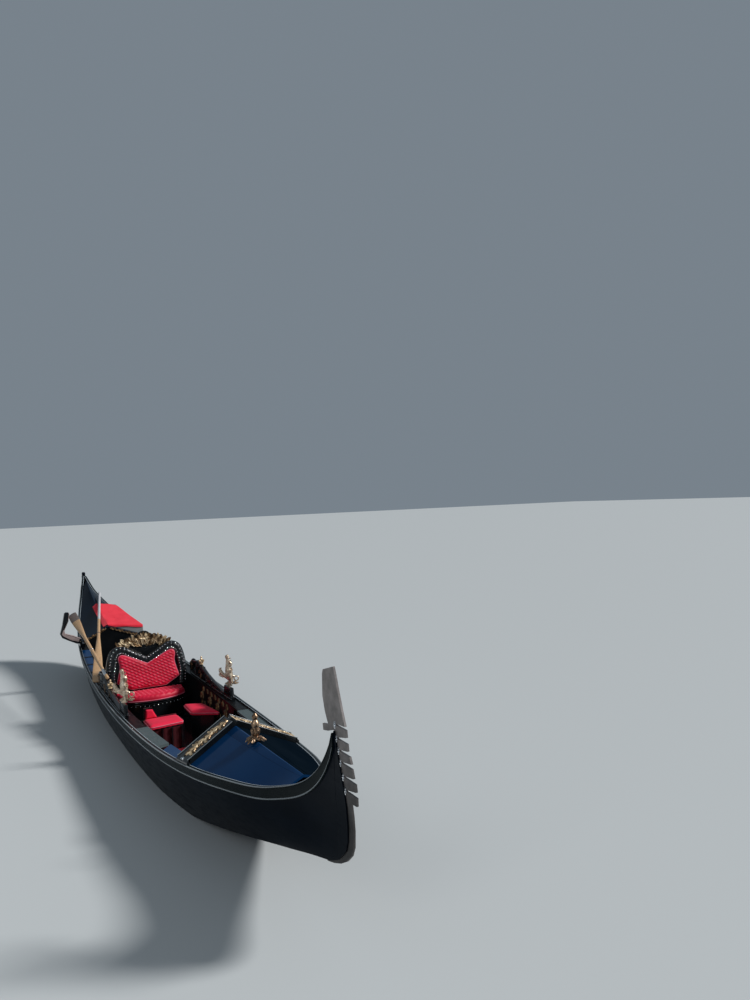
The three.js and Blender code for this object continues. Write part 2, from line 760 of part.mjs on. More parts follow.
function addCrest() {
  const { y } = COUCH;
  const board = outline([
    [y - REAR_BOARD.foot, FLOOR.top + GAP],
    [y + REAR_BOARD.foot, FLOOR.top + GAP],
    [y + REAR_BOARD.middle, REAR_BOARD.shoulder],
    [y + REAR_BOARD.head, REAR_BOARD.top],
    [y - REAR_BOARD.head, REAR_BOARD.top],
    [y - REAR_BOARD.middle, REAR_BOARD.shoulder],
  ]);
  add("couch_rear_board", plate(board, "yz", CREST.x, REAR_BOARD.thick), "black");
  const foot = REAR_BOARD.top + GAP;
  const crestHalf = [
    [0, foot + CREST.high],
    [60, foot + CREST.high - 14],
    [100, foot + 190],
    [170, foot + 176],
    [210, foot + 128],
    [270, foot + 116],
    [318, foot + 70],
    [330, foot + 16],
  ];
  const crest = mirrored(crestHalf, [[322, foot]], y);
  add("crest", plate(crest, "yz", CREST.x, CREST.thick), "gilt");
}

// Two low seats ahead of the couch, each a stand with a cushion on it. plan: the cushion's corners.
const CHAIRS = [
  { name: "starboard", top: 462, plan: [[640, -256], [975, -256], [925, 122], [640, 118]] },
  { name: "port", top: 448, plan: [[206, 302], [606, 286], [796, 570], [300, 512]] },
];
const CHAIR_PAD = { thick: 45, bevel: 12 };
const CHAIR_LEG = { wide: 50, bend: 60, arch: 46 };
// The starboard chair's stand, and the port stool's stand, which keeps off the lining's foot
const CHAIR_STAND = { x: [640, 940], y: [-250, 112] };
const STOOL_STAND = [[212, 306], [600, 292], [724, 515], [308, 508]];

function addChairs() {
  const foot = FLOOR.top + GAP;
  for (const { name, top, plan } of CHAIRS) {
    const { thick, bevel } = CHAIR_PAD;
    add(`chair_${name}_seat`, plate(outline(plan), "xy", top - thick / 2, thick, bevel), "red");
  }
  const [seat, stoolTop] = CHAIRS.map(({ top }) => top - CHAIR_PAD.thick - GAP);
  const { x: [aft, fore], y: [right, left] } = CHAIR_STAND;
  const [leg, bend, arch] = [CHAIR_LEG.wide, CHAIR_LEG.bend, seat - CHAIR_LEG.arch];
  const side = new THREE.Shape();
  side.moveTo(aft, foot);
  side.lineTo(aft + leg, foot);
  side.quadraticCurveTo(aft + bend, arch, (aft + fore) / 2, arch);
  side.quadraticCurveTo(fore - bend, arch, fore - leg, foot);
  side.lineTo(fore, foot);
  side.lineTo(fore, seat);
  side.lineTo(aft, seat);
  add("chair_starboard", plate(side, "xz", (right + left) / 2, left - right), "black");
  const stool = plate(outline(STOOL_STAND), "xy", (foot + stoolTop) / 2, stoolTop - foot);
  add("chair_port", stool, "black");
}

// The starboard chair's low back, raised to a wing at its outer side
const CHAIR_WING = { thick: 30, rise: 112, outer: -244, inner: -158, low: -96, end: 112 };

function addChairBack() {
  const { top } = CHAIRS[0];
  const foot = top - CHAIR_PAD.thick;
  const { thick, rise, outer, inner, low, end } = CHAIR_WING;
  const wing = outline([
    [outer, foot],
    [outer, top + rise],
    [inner, top + rise],
    [low, top - 2],
    [end, top - 2],
    [end, foot],
  ]);
  const middle = CHAIR_STAND.x[0] - GAP - thick / 2;
  add("chair_starboard_back", plate(wing, "yz", middle, thick), "black");
}

// Carved arm rails on the side decks, beside the seats. Each ends forward in a seahorse's foot.
// x, top: their upper edge. inset: from the plank's outer face.
const RAIL = { thick: 46, inset: { starboard: 42, port: 70 } };
const RAIL_TOP = [
  { x: -800, top: 690 },
  { x: -790, top: 735 },
  { x: -700, top: 775 },
  { x: -450, top: 808 },
  { x: -200, top: 762 },
  { x: 0, top: 715 },
  { x: 280, top: 674 },
  { x: 540, top: 645 },
  { x: 700, top: 632 },
  { x: 716, top: 726 },
  { x: 930, top: 726 },
  { x: 942, top: 640 },
  { x: 1000, top: 620 },
];
const RAIL_FOOT = { aft: -740, fore: 1000 };

function railY({ name, sign }) {
  return sign * (halfBreadth(section(150), sign) - RAIL.inset[name] - RAIL.thick / 2);
}

function railTop(x) {
  const next = RAIL_TOP.findIndex((p, i) => i > 0 && p.x >= x);
  const [a, b] = [RAIL_TOP[next - 1], RAIL_TOP[next]];
  return lerp(a.top, b.top, (x - a.x) / (b.x - a.x));
}

function addRails() {
  const top = RAIL_TOP.map((p) => [p.x, p.top]);
  const foot = along(RAIL_FOOT.aft, RAIL_FOOT.fore).map((x) => [x, section(x).top + GAP]);
  for (const side of SIDES) {
    const shape = outline([...top, ...[...foot].reverse()]);
    add(`arm_rail_${side.name}`, plate(shape, "xz", railY(side), RAIL.thick), "black");
  }
}

// Brass seahorses on the fore ends of the arm rails, their plates turned to face half forward
const SEAHORSE = { x: 822, thick: 34, turn: 61, wide: 1.2 };

function addSeahorses() {
  const figure = [
    [-34, 0],
    [46, 0],
    [50, 26],
    [34, 46],
    [66, 50],
    [96, 66],
    [104, 96],
    [84, 118],
    [56, 108],
    [50, 150],
    [40, 210],
    [30, 262],
    [36, 300],
    [20, 322],
    [22, 346],
    [4, 358],
    [-26, 354],
    [-34, 328],
    [-18, 300],
    [-16, 262],
    [-24, 215],
    [-34, 180],
    [-58, 196],
    [-90, 206],
    [-100, 180],
    [-72, 156],
    [-84, 126],
    [-54, 108],
    [-34, 92],
    [-40, 56],
  ];
  const shape = outline(figure.map(([u, v]) => [u * SEAHORSE.wide, v]));
  for (const side of SIDES) {
    const plateShape = plate(shape, "xz", 0, SEAHORSE.thick);
    const mesh = add(`seahorse_${side.name}`, plateShape, "brass");
    mesh.position.set(SEAHORSE.x, railY(side), railTop(SEAHORSE.x) + GAP);
    mesh.rotation.z = THREE.MathUtils.degToRad(SEAHORSE.turn);
  }
}

// Turned finials. radius, height: points of the profile above the foot.
const FINIAL = [
  { radius: 0, height: 0 },
  { radius: 46, height: 0 },
  { radius: 50, height: 16 },
  { radius: 22, height: 34 },
  { radius: 26, height: 90 },
  { radius: 32, height: 130 },
  { radius: 18, height: 160 },
  { radius: 24, height: 186 },
  { radius: 14, height: 206 },
  { radius: 0, height: 214 },
];

function finial(scale) {
  const points = FINIAL.map((p) => new THREE.Vector2(p.radius * scale, p.height * scale));
  return new THREE.LatheGeometry(points, 12).rotateX(Math.PI / 2);
}

const RIDGE_FIGURE_X = 3620;
const RAIL_FINIAL = { starboard: 20, port: -280, scale: 0.42 };

function addFinials() {
  const figure = add("ridge_figure", finial(1), "brass");
  figure.position.set(RIDGE_FIGURE_X, 0, ridgeHeight(RIDGE_FIGURE_X, FORE_DECK) + FIT);
  for (const side of SIDES) {
    const knob = add(`rail_finial_${side.name}`, finial(RAIL_FINIAL.scale), "gilt");
    const at = RAIL_FINIAL[side.name];
    const foot = FINIAL[2].radius * RAIL_FINIAL.scale;
    knob.position.set(at, railY(side), railTop(at - foot) + GAP);
  }
}

// Rowlock on the starboard gunwale: a carved crook on a block
const ROWLOCK = { x: -2900, thick: 70 };
const ROWLOCK_BLOCK = { top: 806, half: 90, out: 2, wide: 72 };
const CROOK = [
  [-482, ROWLOCK_BLOCK.top + GAP],
  [-685, 916],
  [-712, 973],
  [-678, 1096],
  [-646, 1272],
  [-622, 1290],
  [-584, 1284],
  [-573, 1265],
  [-592, 1153],
  [-657, 1009],
  [-638, 974],
  [-528, 932],
  [-422, 879],
  [-408, ROWLOCK_BLOCK.top + GAP],
];

function addRowlock() {
  const { top, half, out, wide } = ROWLOCK_BLOCK;
  const outer = -halfBreadth(section(ROWLOCK.x), -1) - out;
  const inner = outer + wide;
  const rings = [-half, half].map((along) => {
    const x = ROWLOCK.x + along;
    const low = section(x).sheer + GAP;
    return [vector(x, outer, low), vector(x, inner, low), vector(x, inner, top), vector(x, outer, top)];
  });
  add("rowlock_block", loft(rings), "black");
  add("rowlock", plate(outline(CROOK), "yz", ROWLOCK.x, ROWLOCK.thick), "oak");
}

// Oars, each a round shaft that flattens into a blade.
// share: place from the blade's tip to the grip. wide, deep: half sizes of the section.
const OAR_SECTIONS = [
  { share: 0, wide: 70, deep: 8 },
  { share: 0.1, wide: 70, deep: 9 },
  { share: 0.3, wide: 42, deep: 16 },
  { share: 0.42, wide: 23, deep: 23 },
  { share: 0.7, wide: 22, deep: 22 },
  { share: 1, wide: 18, deep: 18 },
];

function addOar(name, tip, grip, flat) {
  const axis = grip.clone().sub(tip).normalize();
  const across = flat.clone().addScaledVector(axis, -flat.dot(axis)).normalize();
  const up = axis.clone().cross(across);
  const rings = OAR_SECTIONS.map(({ share, wide, deep }) => {
    const middle = tip.clone().lerp(grip, share);
    return Array.from({ length: 8 }, (_, i) => {
      const a = (i / 8) * 2 * Math.PI;
      return middle
        .clone()
        .addScaledVector(across, wide * Math.cos(a))
        .addScaledVector(up, deep * Math.sin(a));
    });
  });
  add(name, loft(rings), "oak");
}

function addOars() {
  addOar("oar_short", vector(-3010, -525.2, 1240), vector(-221, -480, 790), vector(0, 0.868, 0.495));
  addOar("oar_long", vector(-880, -500, 620.8), vector(-4780, 150, 1342.3), vector(0, 1, 0));
}

addBottom();
addPlanks();
addBands();
addStem();
addBowIron();
addSternpost();
addDecks();
addBreasthook();
addBulkheads();
addBorder();
addPlatform();
addSideBoards();
addTimbers();
addFloor();
addLining();
addThwart();
addCouch();
addCrest();
addChairs();
addChairBack();
addRails();
addSeahorses();
addFinials();
addRowlock();
addOars();

export default boat;
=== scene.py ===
import math
import random
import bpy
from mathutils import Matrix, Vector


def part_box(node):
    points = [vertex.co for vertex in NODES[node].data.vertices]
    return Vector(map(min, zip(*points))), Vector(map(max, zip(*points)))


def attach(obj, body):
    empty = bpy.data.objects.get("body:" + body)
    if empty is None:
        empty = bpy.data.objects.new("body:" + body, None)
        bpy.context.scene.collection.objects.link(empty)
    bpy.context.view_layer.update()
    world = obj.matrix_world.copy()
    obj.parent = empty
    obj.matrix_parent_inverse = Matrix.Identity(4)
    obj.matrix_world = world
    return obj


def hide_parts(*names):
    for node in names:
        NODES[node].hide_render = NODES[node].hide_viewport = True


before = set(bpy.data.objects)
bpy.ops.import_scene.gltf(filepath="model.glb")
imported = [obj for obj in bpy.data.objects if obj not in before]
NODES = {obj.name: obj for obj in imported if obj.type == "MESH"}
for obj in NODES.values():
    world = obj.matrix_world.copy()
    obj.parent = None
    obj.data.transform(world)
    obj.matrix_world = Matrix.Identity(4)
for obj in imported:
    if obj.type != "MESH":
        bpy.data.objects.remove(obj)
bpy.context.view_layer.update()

from types import SimpleNamespace

import bmesh
import bpy
import numpy as np
from mathutils import Matrix, Vector

random.seed(7)


# Camera, fitted to the hull's lines in the photograph
CAMERA = {"place": (9.225, -1.946, 2.788), "yaw": 2.638117, "pitch": -0.000242, "roll": -0.0398601}
FOCAL_PX = 752.8
SENSOR = 36.0
LONG_SIDE_PX = 1000


def add_camera():
    yaw, pitch, roll = (CAMERA[k] for k in ("yaw", "pitch", "roll"))
    ahead = Vector((math.cos(pitch) * math.cos(yaw), math.cos(pitch) * math.sin(yaw), math.sin(pitch)))
    level = Vector((math.sin(yaw), -math.cos(yaw), 0))
    upright = level.cross(ahead)
    right = math.cos(roll) * level + math.sin(roll) * upright
    up = -math.sin(roll) * level + math.cos(roll) * upright
    data = bpy.data.cameras.new("camera")
    data.sensor_width = SENSOR
    data.lens = FOCAL_PX / LONG_SIDE_PX * SENSOR
    camera = bpy.data.objects.new("camera", data)
    turn = Matrix((right, up, -ahead)).transposed().to_4x4()
    camera.matrix_world = Matrix.Translation(CAMERA["place"]) @ turn
    bpy.context.scene.collection.objects.link(camera)
    bpy.context.scene.camera = camera


add_camera()

# Materials


class Shader:
    """The nodes of one material around its Principled shader."""

    def __init__(self, material, **sockets):
        """material: the name of a new one, or a finished one to add to."""
        if isinstance(material, str):
            material = bpy.data.materials.new(material)
            material.use_nodes = True
        self.material, self.tree = material, material.node_tree
        self.shader = self.tree.nodes["Principled BSDF"]
        for key, value in sockets.items():
            self.shader.inputs[key.replace("_", " ")].default_value = value
        self.place = self.node("ShaderNodeTexCoord").outputs["Object"]
        self.bumps = []

    def node(self, kind, settings=None, **inputs):
        made = self.tree.nodes.new(kind)
        for key, value in (settings or {}).items():
            setattr(made, key, value)
        for key, value in inputs.items():
            self.feed(value, made.inputs[key.replace("_", " ")])
        return made

    def feed(self, value, socket):
        if isinstance(value, bpy.types.NodeSocket):
            self.tree.links.new(value, socket)
        else:
            socket.default_value = value

    def stretched(self, stretch):
        return self.node("ShaderNodeMapping", Vector=self.place, Scale=stretch).outputs[0]

    def noise(self, scale, stretch=(1, 1, 1), detail=4.0, rough=0.55):
        made = self.node("ShaderNodeTexNoise", Vector=self.stretched(stretch), Scale=scale, Detail=detail)
        made.inputs["Roughness"].default_value = rough
        return made.outputs[0]

    def cells(self, scale):
        return self.node("ShaderNodeTexVoronoi", Vector=self.place, Scale=scale).outputs["Distance"]

    def bands(self, scale, direction, distortion):
        settings = {"bands_direction": direction}
        made = self.node("ShaderNodeTexWave", settings, Vector=self.place, Scale=scale, Distortion=distortion)
        return made.outputs["Fac"]

    def spread(self, value, low, high, to_low=0.0, to_high=1.0):
        made = self.node("ShaderNodeMapRange", Value=value)
        for key, number in (("From Min", low), ("From Max", high), ("To Min", to_low), ("To Max", to_high)):
            made.inputs[key].default_value = number
        return made.outputs[0]

    def mixed(self, share, first, second):
        made = self.node("ShaderNodeMix", {"data_type": "RGBA"})
        self.feed(share, made.inputs[0])
        self.feed(first, made.inputs[6])
        self.feed(second, made.inputs[7])
        return made.outputs[2]

    def joined(self, operation, first, second):
        made = self.node("ShaderNodeMath", {"operation": operation})
        self.feed(first, made.inputs[0])
        self.feed(second, made.inputs[1])
        return made.outputs[0]

    def colour(self, value):
        self.feed(value, self.shader.inputs["Base Color"])

    def roughness(self, value):
        self.feed(value, self.shader.inputs["Roughness"])

    def bump(self, height, distance):
        made = self.node("ShaderNodeBump", Height=height, Distance=distance, Strength=1.0)
        if self.bumps:
            self.feed(self.bumps[-1], made.inputs["Normal"])
        self.bumps.append(made.outputs[0])
        self.feed(made.outputs[0], self.shader.inputs["Normal"])


def rgba(*rgb):
    return (*rgb, 1.0)


# Depths of paint's fine peel, wood's grain and woven thread, and the stretch and scale of the grain
PEEL, GRAIN, THREAD = 0.00004, 0.0003, 0.00012
GRAIN_ALONG, GRAIN_SCALE = (1, 14, 14), 9.0


def painted(name, dark, light, rough, coat, wave=0.0006, gloss=0.35):
    """Brushed gloss paint over wood: long faint waves, fine peel, dull patches where it is worn."""
    s = Shader(name, Coat_Weight=coat, Coat_Roughness=0.06, Specular_IOR_Level=gloss)
    patches = s.spread(s.noise(1.7, (0.6, 2, 2), 6.0), 0.38, 0.72)
    s.colour(s.mixed(patches, rgba(*dark), rgba(*light)))
    scuffs = s.spread(s.noise(14.0, (0.35, 1.5, 2.5), 8.0, 0.7), 0.45, 0.8)
    s.roughness(s.spread(scuffs, 0.0, 1.0, rough[0], rough[1]))
    s.bump(s.noise(5.0, (0.35, 1, 1.6), 2.0), wave)
    s.bump(s.noise(420.0), PEEL)
    return s.material


def metal(name, bright, dull, rough, grain=0.00025, scale=60.0, metallic=1.0):
    """Cast or forged metal with a rubbed and a tarnished tone, pits and fine scratches."""
    s = Shader(name, Metallic=metallic)
    stain = s.spread(s.noise(scale * 0.35, detail=8.0, rough=0.65), 0.36, 0.66)
    s.colour(s.mixed(stain, rgba(*bright), rgba(*dull)))
    s.roughness(s.spread(s.noise(scale, detail=6.0), 0.3, 0.75, rough[0], rough[1]))
    s.bump(s.noise(scale * 2.5, detail=6.0), grain)
    s.bump(s.noise(scale * 6, (8, 1, 1), 2.0), grain * 0.25)
    return s.material


def darkened_below(material, low, high, share):
    """Darkens a finished material's colour below a height."""
    s = Shader(material)
    height = s.node("ShaderNodeSeparateXYZ", Vector=s.place).outputs[2]
    socket = s.shader.inputs["Base Color"]
    tone = socket.links[0].from_socket
    dark = s.mixed(1.0 - share, tone, rgba(0.004, 0.006, 0.006))
    s.colour(s.mixed(s.spread(height, low, high), dark, tone))


def wooden(name, light, dark, rough):
    """Wood with long grain, darker pores and dull worn patches."""
    s = Shader(name)
    rings = s.noise(GRAIN_SCALE, GRAIN_ALONG, 6.0, 0.6)
    pores = s.spread(s.noise(GRAIN_SCALE * 5, GRAIN_ALONG, 4.0, 0.7), 0.52, 0.66)
    tone = s.mixed(s.spread(rings, 0.35, 0.68), rgba(*light), rgba(*dark))
    s.colour(s.mixed(s.joined("MULTIPLY", pores, 0.5), tone, rgba(*(c * 0.45 for c in dark))))
    s.roughness(s.spread(s.noise(6.0, detail=6.0), 0.35, 0.7, rough[0], rough[1]))
    s.bump(rings, GRAIN)
    s.bump(pores, -GRAIN * 0.5)
    return s.material


def cloth(name, deep, bright, rough=0.7, sheen=0.35, tint=(1.0, 0.55, 0.6), weave=900.0, pile=False):
    """Woven cover or cut pile: thread bump in two directions, soft shading patches and sheen."""
    s = Shader(name, Sheen_Weight=sheen, Sheen_Roughness=0.45, Sheen_Tint=rgba(*tint), Roughness=rough,
               Specular_IOR_Level=0.3)
    worn = s.spread(s.noise(7.0, detail=6.0, rough=0.6), 0.32, 0.7)
    fleck = s.spread(s.noise(weave * 0.4, detail=3.0), 0.35, 0.65)
    tone = s.joined("ADD", s.joined("MULTIPLY", worn, 0.6), s.joined("MULTIPLY", fleck, 0.4))
    s.colour(s.mixed(tone, rgba(*deep), rgba(*bright)))
    if pile:
        s.bump(s.cells(weave * 0.45), THREAD * 6)
        s.bump(s.noise(60.0, detail=4.0), THREAD * 12)
    else:
        threads = [s.bands(weave / 20, axis, 0.4) for axis in ("X", "Y", "Z")]
        s.bump(s.joined("ADD", s.joined("ADD", *threads[:2]), threads[2]), THREAD)
        s.bump(s.noise(35.0, detail=5.0), THREAD * 5)
    return s.material


def leather(name, tone, rough):
    """Soft grained leather with creases."""
    s = Shader(name, Coat_Weight=0.25, Coat_Roughness=0.14, Specular_IOR_Level=0.3)
    rubbed = s.spread(s.noise(9.0, detail=6.0), 0.4, 0.75)
    s.colour(s.mixed(rubbed, rgba(*tone), rgba(*(c * 1.8 for c in tone))))
    s.roughness(s.spread(s.noise(25.0), 0.3, 0.7, rough[0], rough[1]))
    s.bump(s.cells(620.0), 0.00015)
    s.bump(s.noise(30.0, detail=4.0), 0.0006)
    return s.material


# Material names here are the keys used for pieces. Tones are linear.
MATERIALS = {
    "hull": painted("hull_paint", (0.0015, 0.0035, 0.007), (0.003, 0.006, 0.011), (0.3, 0.5), 0.0, 0.0003,
                    gloss=0.05),
    "band": painted("band_paint", (0.003, 0.006, 0.007), (0.007, 0.012, 0.013), (0.25, 0.45), 0.0, 0.0003,
                    gloss=0.08),
    # Grey moulding lines: a painted reflection of the sky on black mouldings
    "line": painted("moulding_line_painted_reflection", (0.17, 0.19, 0.20), (0.27, 0.30, 0.31), (0.25, 0.45), 0.2, 0.0001),
    # Pale line on the cap's inner edge: a painted highlight
    "bright_line": painted("cap_edge_painted_highlight", (0.42, 0.47, 0.50), (0.55, 0.60, 0.63), (0.25, 0.4), 0.2,
                           0.0001),
    "inside": painted("inside_paint", (0.003, 0.004, 0.005), (0.008, 0.009, 0.010), (0.3, 0.55), 0.0,
                      gloss=0.06),
    # Navy deck lacquer: the blue is a painted reflection of the sky on black lacquer
    "deck": painted("deck_lacquer", (0.003, 0.030, 0.096), (0.004, 0.037, 0.112), (0.06, 0.14), 0.0, 0.0002,
                    gloss=0.05),
    "deck_shade": painted("deck_lacquer_port", (0.002, 0.005, 0.009), (0.004, 0.008, 0.013), (0.16, 0.34),
                          0.0, gloss=0.0),
    "deck_aft": painted("deck_lacquer_aft", (0.001, 0.006, 0.015), (0.002, 0.009, 0.021), (0.1, 0.25), 0.0,
                        0.0003, gloss=0.03),
    "trim": painted("trim_paint", (0.004, 0.005, 0.006), (0.011, 0.013, 0.015), (0.14, 0.34), 0.2, 0.0002,
                    gloss=0.3),
    "grey": painted("grey_paint", (0.16, 0.17, 0.175), (0.24, 0.25, 0.25), (0.4, 0.7), 0.05, 0.0004),
    "weathered": wooden("weathered_paint", (0.085, 0.110, 0.112), (0.05, 0.072, 0.076), (0.5, 0.8)),
    "oak": wooden("oiled_wood", (0.60, 0.38, 0.20), (0.42, 0.24, 0.115), (0.35, 0.6)),
    "worn_oak": wooden("worn_wood", (0.20, 0.15, 0.125), (0.11, 0.085, 0.075), (0.45, 0.7)),
    "pale_grey": wooden("bleached_wood", (0.60, 0.60, 0.62), (0.42, 0.41, 0.41), (0.4, 0.6)),
    "crook_wood": wooden("rubbed_wood", (0.42, 0.32, 0.30), (0.26, 0.19, 0.18), (0.45, 0.7)),
    "brown": wooden("dark_wood", (0.06, 0.03, 0.018), (0.02, 0.01, 0.007), (0.3, 0.55)),
    # Pale gilded field of the port border board: painted sunlight
    "gilt_field_painted_sunlit": wooden("gilded_board_painted_sunlit", (0.74, 0.55, 0.33), (0.50, 0.34, 0.18), (0.4, 0.65)),
    "iron": metal("forged_iron", (0.30, 0.27, 0.26), (0.17, 0.155, 0.15), (0.34, 0.52), 0.0002, 24.0),
    "steel": metal("bright_steel", (0.85, 0.86, 0.88), (0.6, 0.6, 0.6), (0.10, 0.25), 0.0001),
    "brass": metal("cast_brass", (0.86, 0.72, 0.55), (0.46, 0.32, 0.22), (0.2, 0.42), metallic=0.7),
    "bronze": metal("dark_bronze", (0.50, 0.34, 0.22), (0.09, 0.05, 0.03), (0.22, 0.5)),
    "gilt": metal("old_gilding", (0.95, 0.76, 0.50), (0.32, 0.19, 0.09), (0.3, 0.55), 0.0004, 40.0, 0.5),
    "gilt_dark": metal("dark_gilding", (0.26, 0.15, 0.065), (0.03, 0.016, 0.008), (0.35, 0.6), 0.0004, 40.0,
                       0.6),
    "red": cloth("red_damask", (0.42, 0.001, 0.016), (0.72, 0.006, 0.050), 0.5, 0.12),
    "chair_red": cloth("red_cover", (0.62, 0.004, 0.034), (0.82, 0.014, 0.062), 0.7, 0.12),
    # Red cloth darkened as painted shade, for the chair's front under its seat
    "deep_red": cloth("red_cloth_painted_shade", (0.030, 0.001, 0.003), (0.075, 0.002, 0.006), 0.8, 0.02),
    "piping": cloth("pink_piping", (0.5, 0.06, 0.11), (0.72, 0.20, 0.27), 0.5, 0.1, (1, 0.8, 0.8), 1400.0),
    # Pale stitches: real thread that also paints the sheen highlights on the silk
    "stitch": cloth("stitch_thread_painted_sheen", (0.70, 0.16, 0.24), (0.85, 0.36, 0.44), 0.45, 0.1, (1, 0.8, 0.8),
                    1400.0),
    "carpet": cloth("red_carpet", (0.66, 0.016, 0.034), (0.84, 0.04, 0.065), 0.9, 0.1, pile=True),
    # The well's red carpet, darkened as painted shade
    "dark_carpet": cloth("dark_carpet", (0.16, 0.001, 0.007), (0.30, 0.003, 0.015), 0.9, 0.02, pile=True),
    "leather": leather("black_leather", (0.0035, 0.0045, 0.0055), (0.16, 0.34)),
}
darkened_below(MATERIALS["iron"], 0.90, 1.50, 0.35)
darkened_below(MATERIALS["crook_wood"], 0.84, 0.90, 0.5)

# Pieces


UP, AHEAD = Vector((0, 0, 1)), Vector((1, 0, 0))


def around(count):
    """Angles of even steps around a circle."""
    return [2 * math.pi * k / count for k in range(count)]


def piece(name, mesh, finish, replaces, smooth):
    """A shown object that rides on the boat. finish: one material's key, or several."""
    obj = bpy.data.objects.new(name, mesh)
    bpy.context.scene.collection.objects.link(obj)
    for key in (finish,) if isinstance(finish, str) else finish:
        mesh.materials.append(MATERIALS[key])
    mesh.shade_smooth()
    mesh.set_sharp_from_angle(angle=math.radians(smooth))
    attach(obj, "root")
    if replaces:
        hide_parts(*replaces)
    return obj


def mesh_of(name, points, faces, tags=None):
    mesh = bpy.data.meshes.new(name)
    mesh.from_pydata([tuple(p) for p in points], [], faces)
    if tags:
        mesh.polygons.foreach_set("material_index", tags)
    build = bmesh.new()
    build.from_mesh(mesh)
    bmesh.ops.recalc_face_normals(build, faces=build.faces)
    build.to_mesh(mesh)
    build.free()
    return mesh


class Build:
    """Many small closed bodies gathered into one mesh."""

    def __init__(self):
        self.points, self.faces, self.tags = [], [], []

    def add(self, points, faces, tag=0):
        start = len(self.points)
        self.points += points
        self.faces += [tuple(start + i for i in face) for face in faces]
        self.tags += [tag] * len(faces)

    def rings(self, rings, tag=0, closed=False, strips=None):
        """Bars through rings. strips: the material of each strip between a ring's points."""
        count = len(rings[0])
        points = [p for ring in rings for p in ring]
        faces = []
        for i in range(len(rings) - (0 if closed else 1)):
            after = (i + 1) % len(rings)
            for j in range(count):
                k = (j + 1) % count
                faces.append((i * count + j, i * count + k, after * count + k, after * count + j))
        if not closed:
            faces += [tuple(range(count))[::-1], tuple(range(len(points) - count, len(points)))]
        self.add(points, faces, tag)
        if strips:
            self.tags[-len(faces):] = [strips[i % count] for i in range(len(faces) - 2)] + [tag, tag]

    def tube(self, line, radii, sides=10, tag=0, closed=False, flat=1.0, across=Vector((0, 1, 0))):
        """Round or oval bar along a line. flat: its height over its width, which lies along across."""
        rings = []
        count = len(line)
        for i, p in enumerate(line):
            before = line[(i - 1) % count] if closed or i else line[0]
            after = line[(i + 1) % count] if closed or i + 1 < count else line[-1]
            ahead = (after - before).normalized()
            side = (across - ahead * across.dot(ahead)).normalized()
            up = ahead.cross(side)
            r = radii[i] if isinstance(radii, (list, tuple)) else radii
            rings.append([p + side * (r * math.cos(a)) + up * (r * flat * math.sin(a))
                          for a in around(sides)])
        self.rings(rings, tag, closed)

    def dome(self, place, normal, radius, height, tag=0, sides=8):
        """Stud: a low dome on a surface."""
        side = normal.orthogonal().normalized()
        up = normal.cross(side)
        rings = []
        for lift, share in ((-0.3, 1.0), (0.25, 0.95), (0.7, 0.7), (0.98, 0.2)):
            middle = place + normal * (height * lift)
            rings.append([middle + (side * math.cos(a) + up * math.sin(a)) * radius * share
                          for a in around(sides)])
        self.rings(rings, tag)

    def lathe(self, place, profile, sides=24):
        """profile: (radius, height) from the foot up."""
        circle = [(math.cos(a), math.sin(a)) for a in around(sides)]
        self.rings([[place + Vector((r * c, r * s, z)) for c, s in circle] for r, z in profile])

    def piece(self, name, finish, slot, replaces=(), smooth=40.0):
        tags = self.tags if len(set(self.tags)) > 1 else None
        return piece(name, mesh_of(name, self.points, self.faces, tags), finish, replaces, smooth)


def loft(name, rings, finish, slot, replaces=(), strips=None, smooth=35.0):
    """A piece of one closed body through rings. strips: the material of each strip between their points."""
    build = Build()
    build.rings(rings, strips=strips)
    return build.piece(name, finish, slot, replaces, smooth)


def curve_through(points, steps):
    """Smooth line through points of any dimension, with as many steps from each point to the next."""
    points = [np.array(p, float) for p in points]
    end = len(points) - 1
    out = []
    for i in range(end):
        before, first, last, after = (points[min(max(i + k, 0), end)] for k in (-1, 0, 1, 2))
        square = 2 * before - 5 * first + 4 * last - after
        cube = 3 * first - before - 3 * last + after
        for t in np.linspace(0, 1, steps, endpoint=False):
            out.append(0.5 * (2 * first + (last - before) * t + square * t**2 + cube * t**3))
    return out + [points[-1]]


def even_points(line, pitch, closed=False):
    """Points at equal distances along a line."""
    points = np.array(line + [line[0]] if closed else line)
    lengths = np.concatenate([[0], np.cumsum(np.linalg.norm(np.diff(points, axis=0), axis=1))])
    count = max(2, round(lengths[-1] / pitch))
    marks = np.linspace(0, lengths[-1], count + 1)[: -1 if closed else None]
    return [np.array([np.interp(m, lengths, points[:, c]) for c in range(points.shape[1])]) for m in marks]


# Cross sections of carved strips: shares of half the width and of the height
STEM_CROSS = ((-1, 0), (-0.6, 0.75), (0, 1), (0.6, 0.75), (1, 0))
LEAF_CROSS = ((-1, 0), (-0.62, 0.85), (-0.2, 0.75), (0, 0.4), (0.2, 0.75), (0.62, 0.85), (1, 0))
SUNK = 0.001


def carve(build, line, width, height, place, cross=STEM_CROSS, tag=0):
    """Carved strip on a surface. width, height: by share of the line. place: maps (u, v, out) to space.
    Its foot is sunk a little into the surface."""
    rings = []
    for i, p in enumerate(line):
        step = np.array(line[min(i + 1, len(line) - 1)]) - np.array(line[max(i - 1, 0)])
        step = step / (np.linalg.norm(step) + 1e-9)
        t = i / (len(line) - 1)
        wide, high = width(t), height(t)
        side = [(-step[1] * a * wide, step[0] * a * wide, b * high - SUNK) for a, b in cross]
        rings.append([place(p[0] + u, p[1] + v, out) for u, v, out in side])
    build.rings(rings, tag)


def spiral(start, heading, size, hand, turns=1.35):
    """A line whose bend tightens: an opening scroll."""
    steps = 22
    line = [np.array(start, float)]
    for i in range(steps):
        t = (i + 0.5) / steps
        angle = heading + hand * turns * 2 * math.pi * t**2
        step = size * 2.6 / steps * (1.15 - 0.75 * t)
        line.append(line[-1] + step * np.array([math.cos(angle), math.sin(angle)]))
    return line


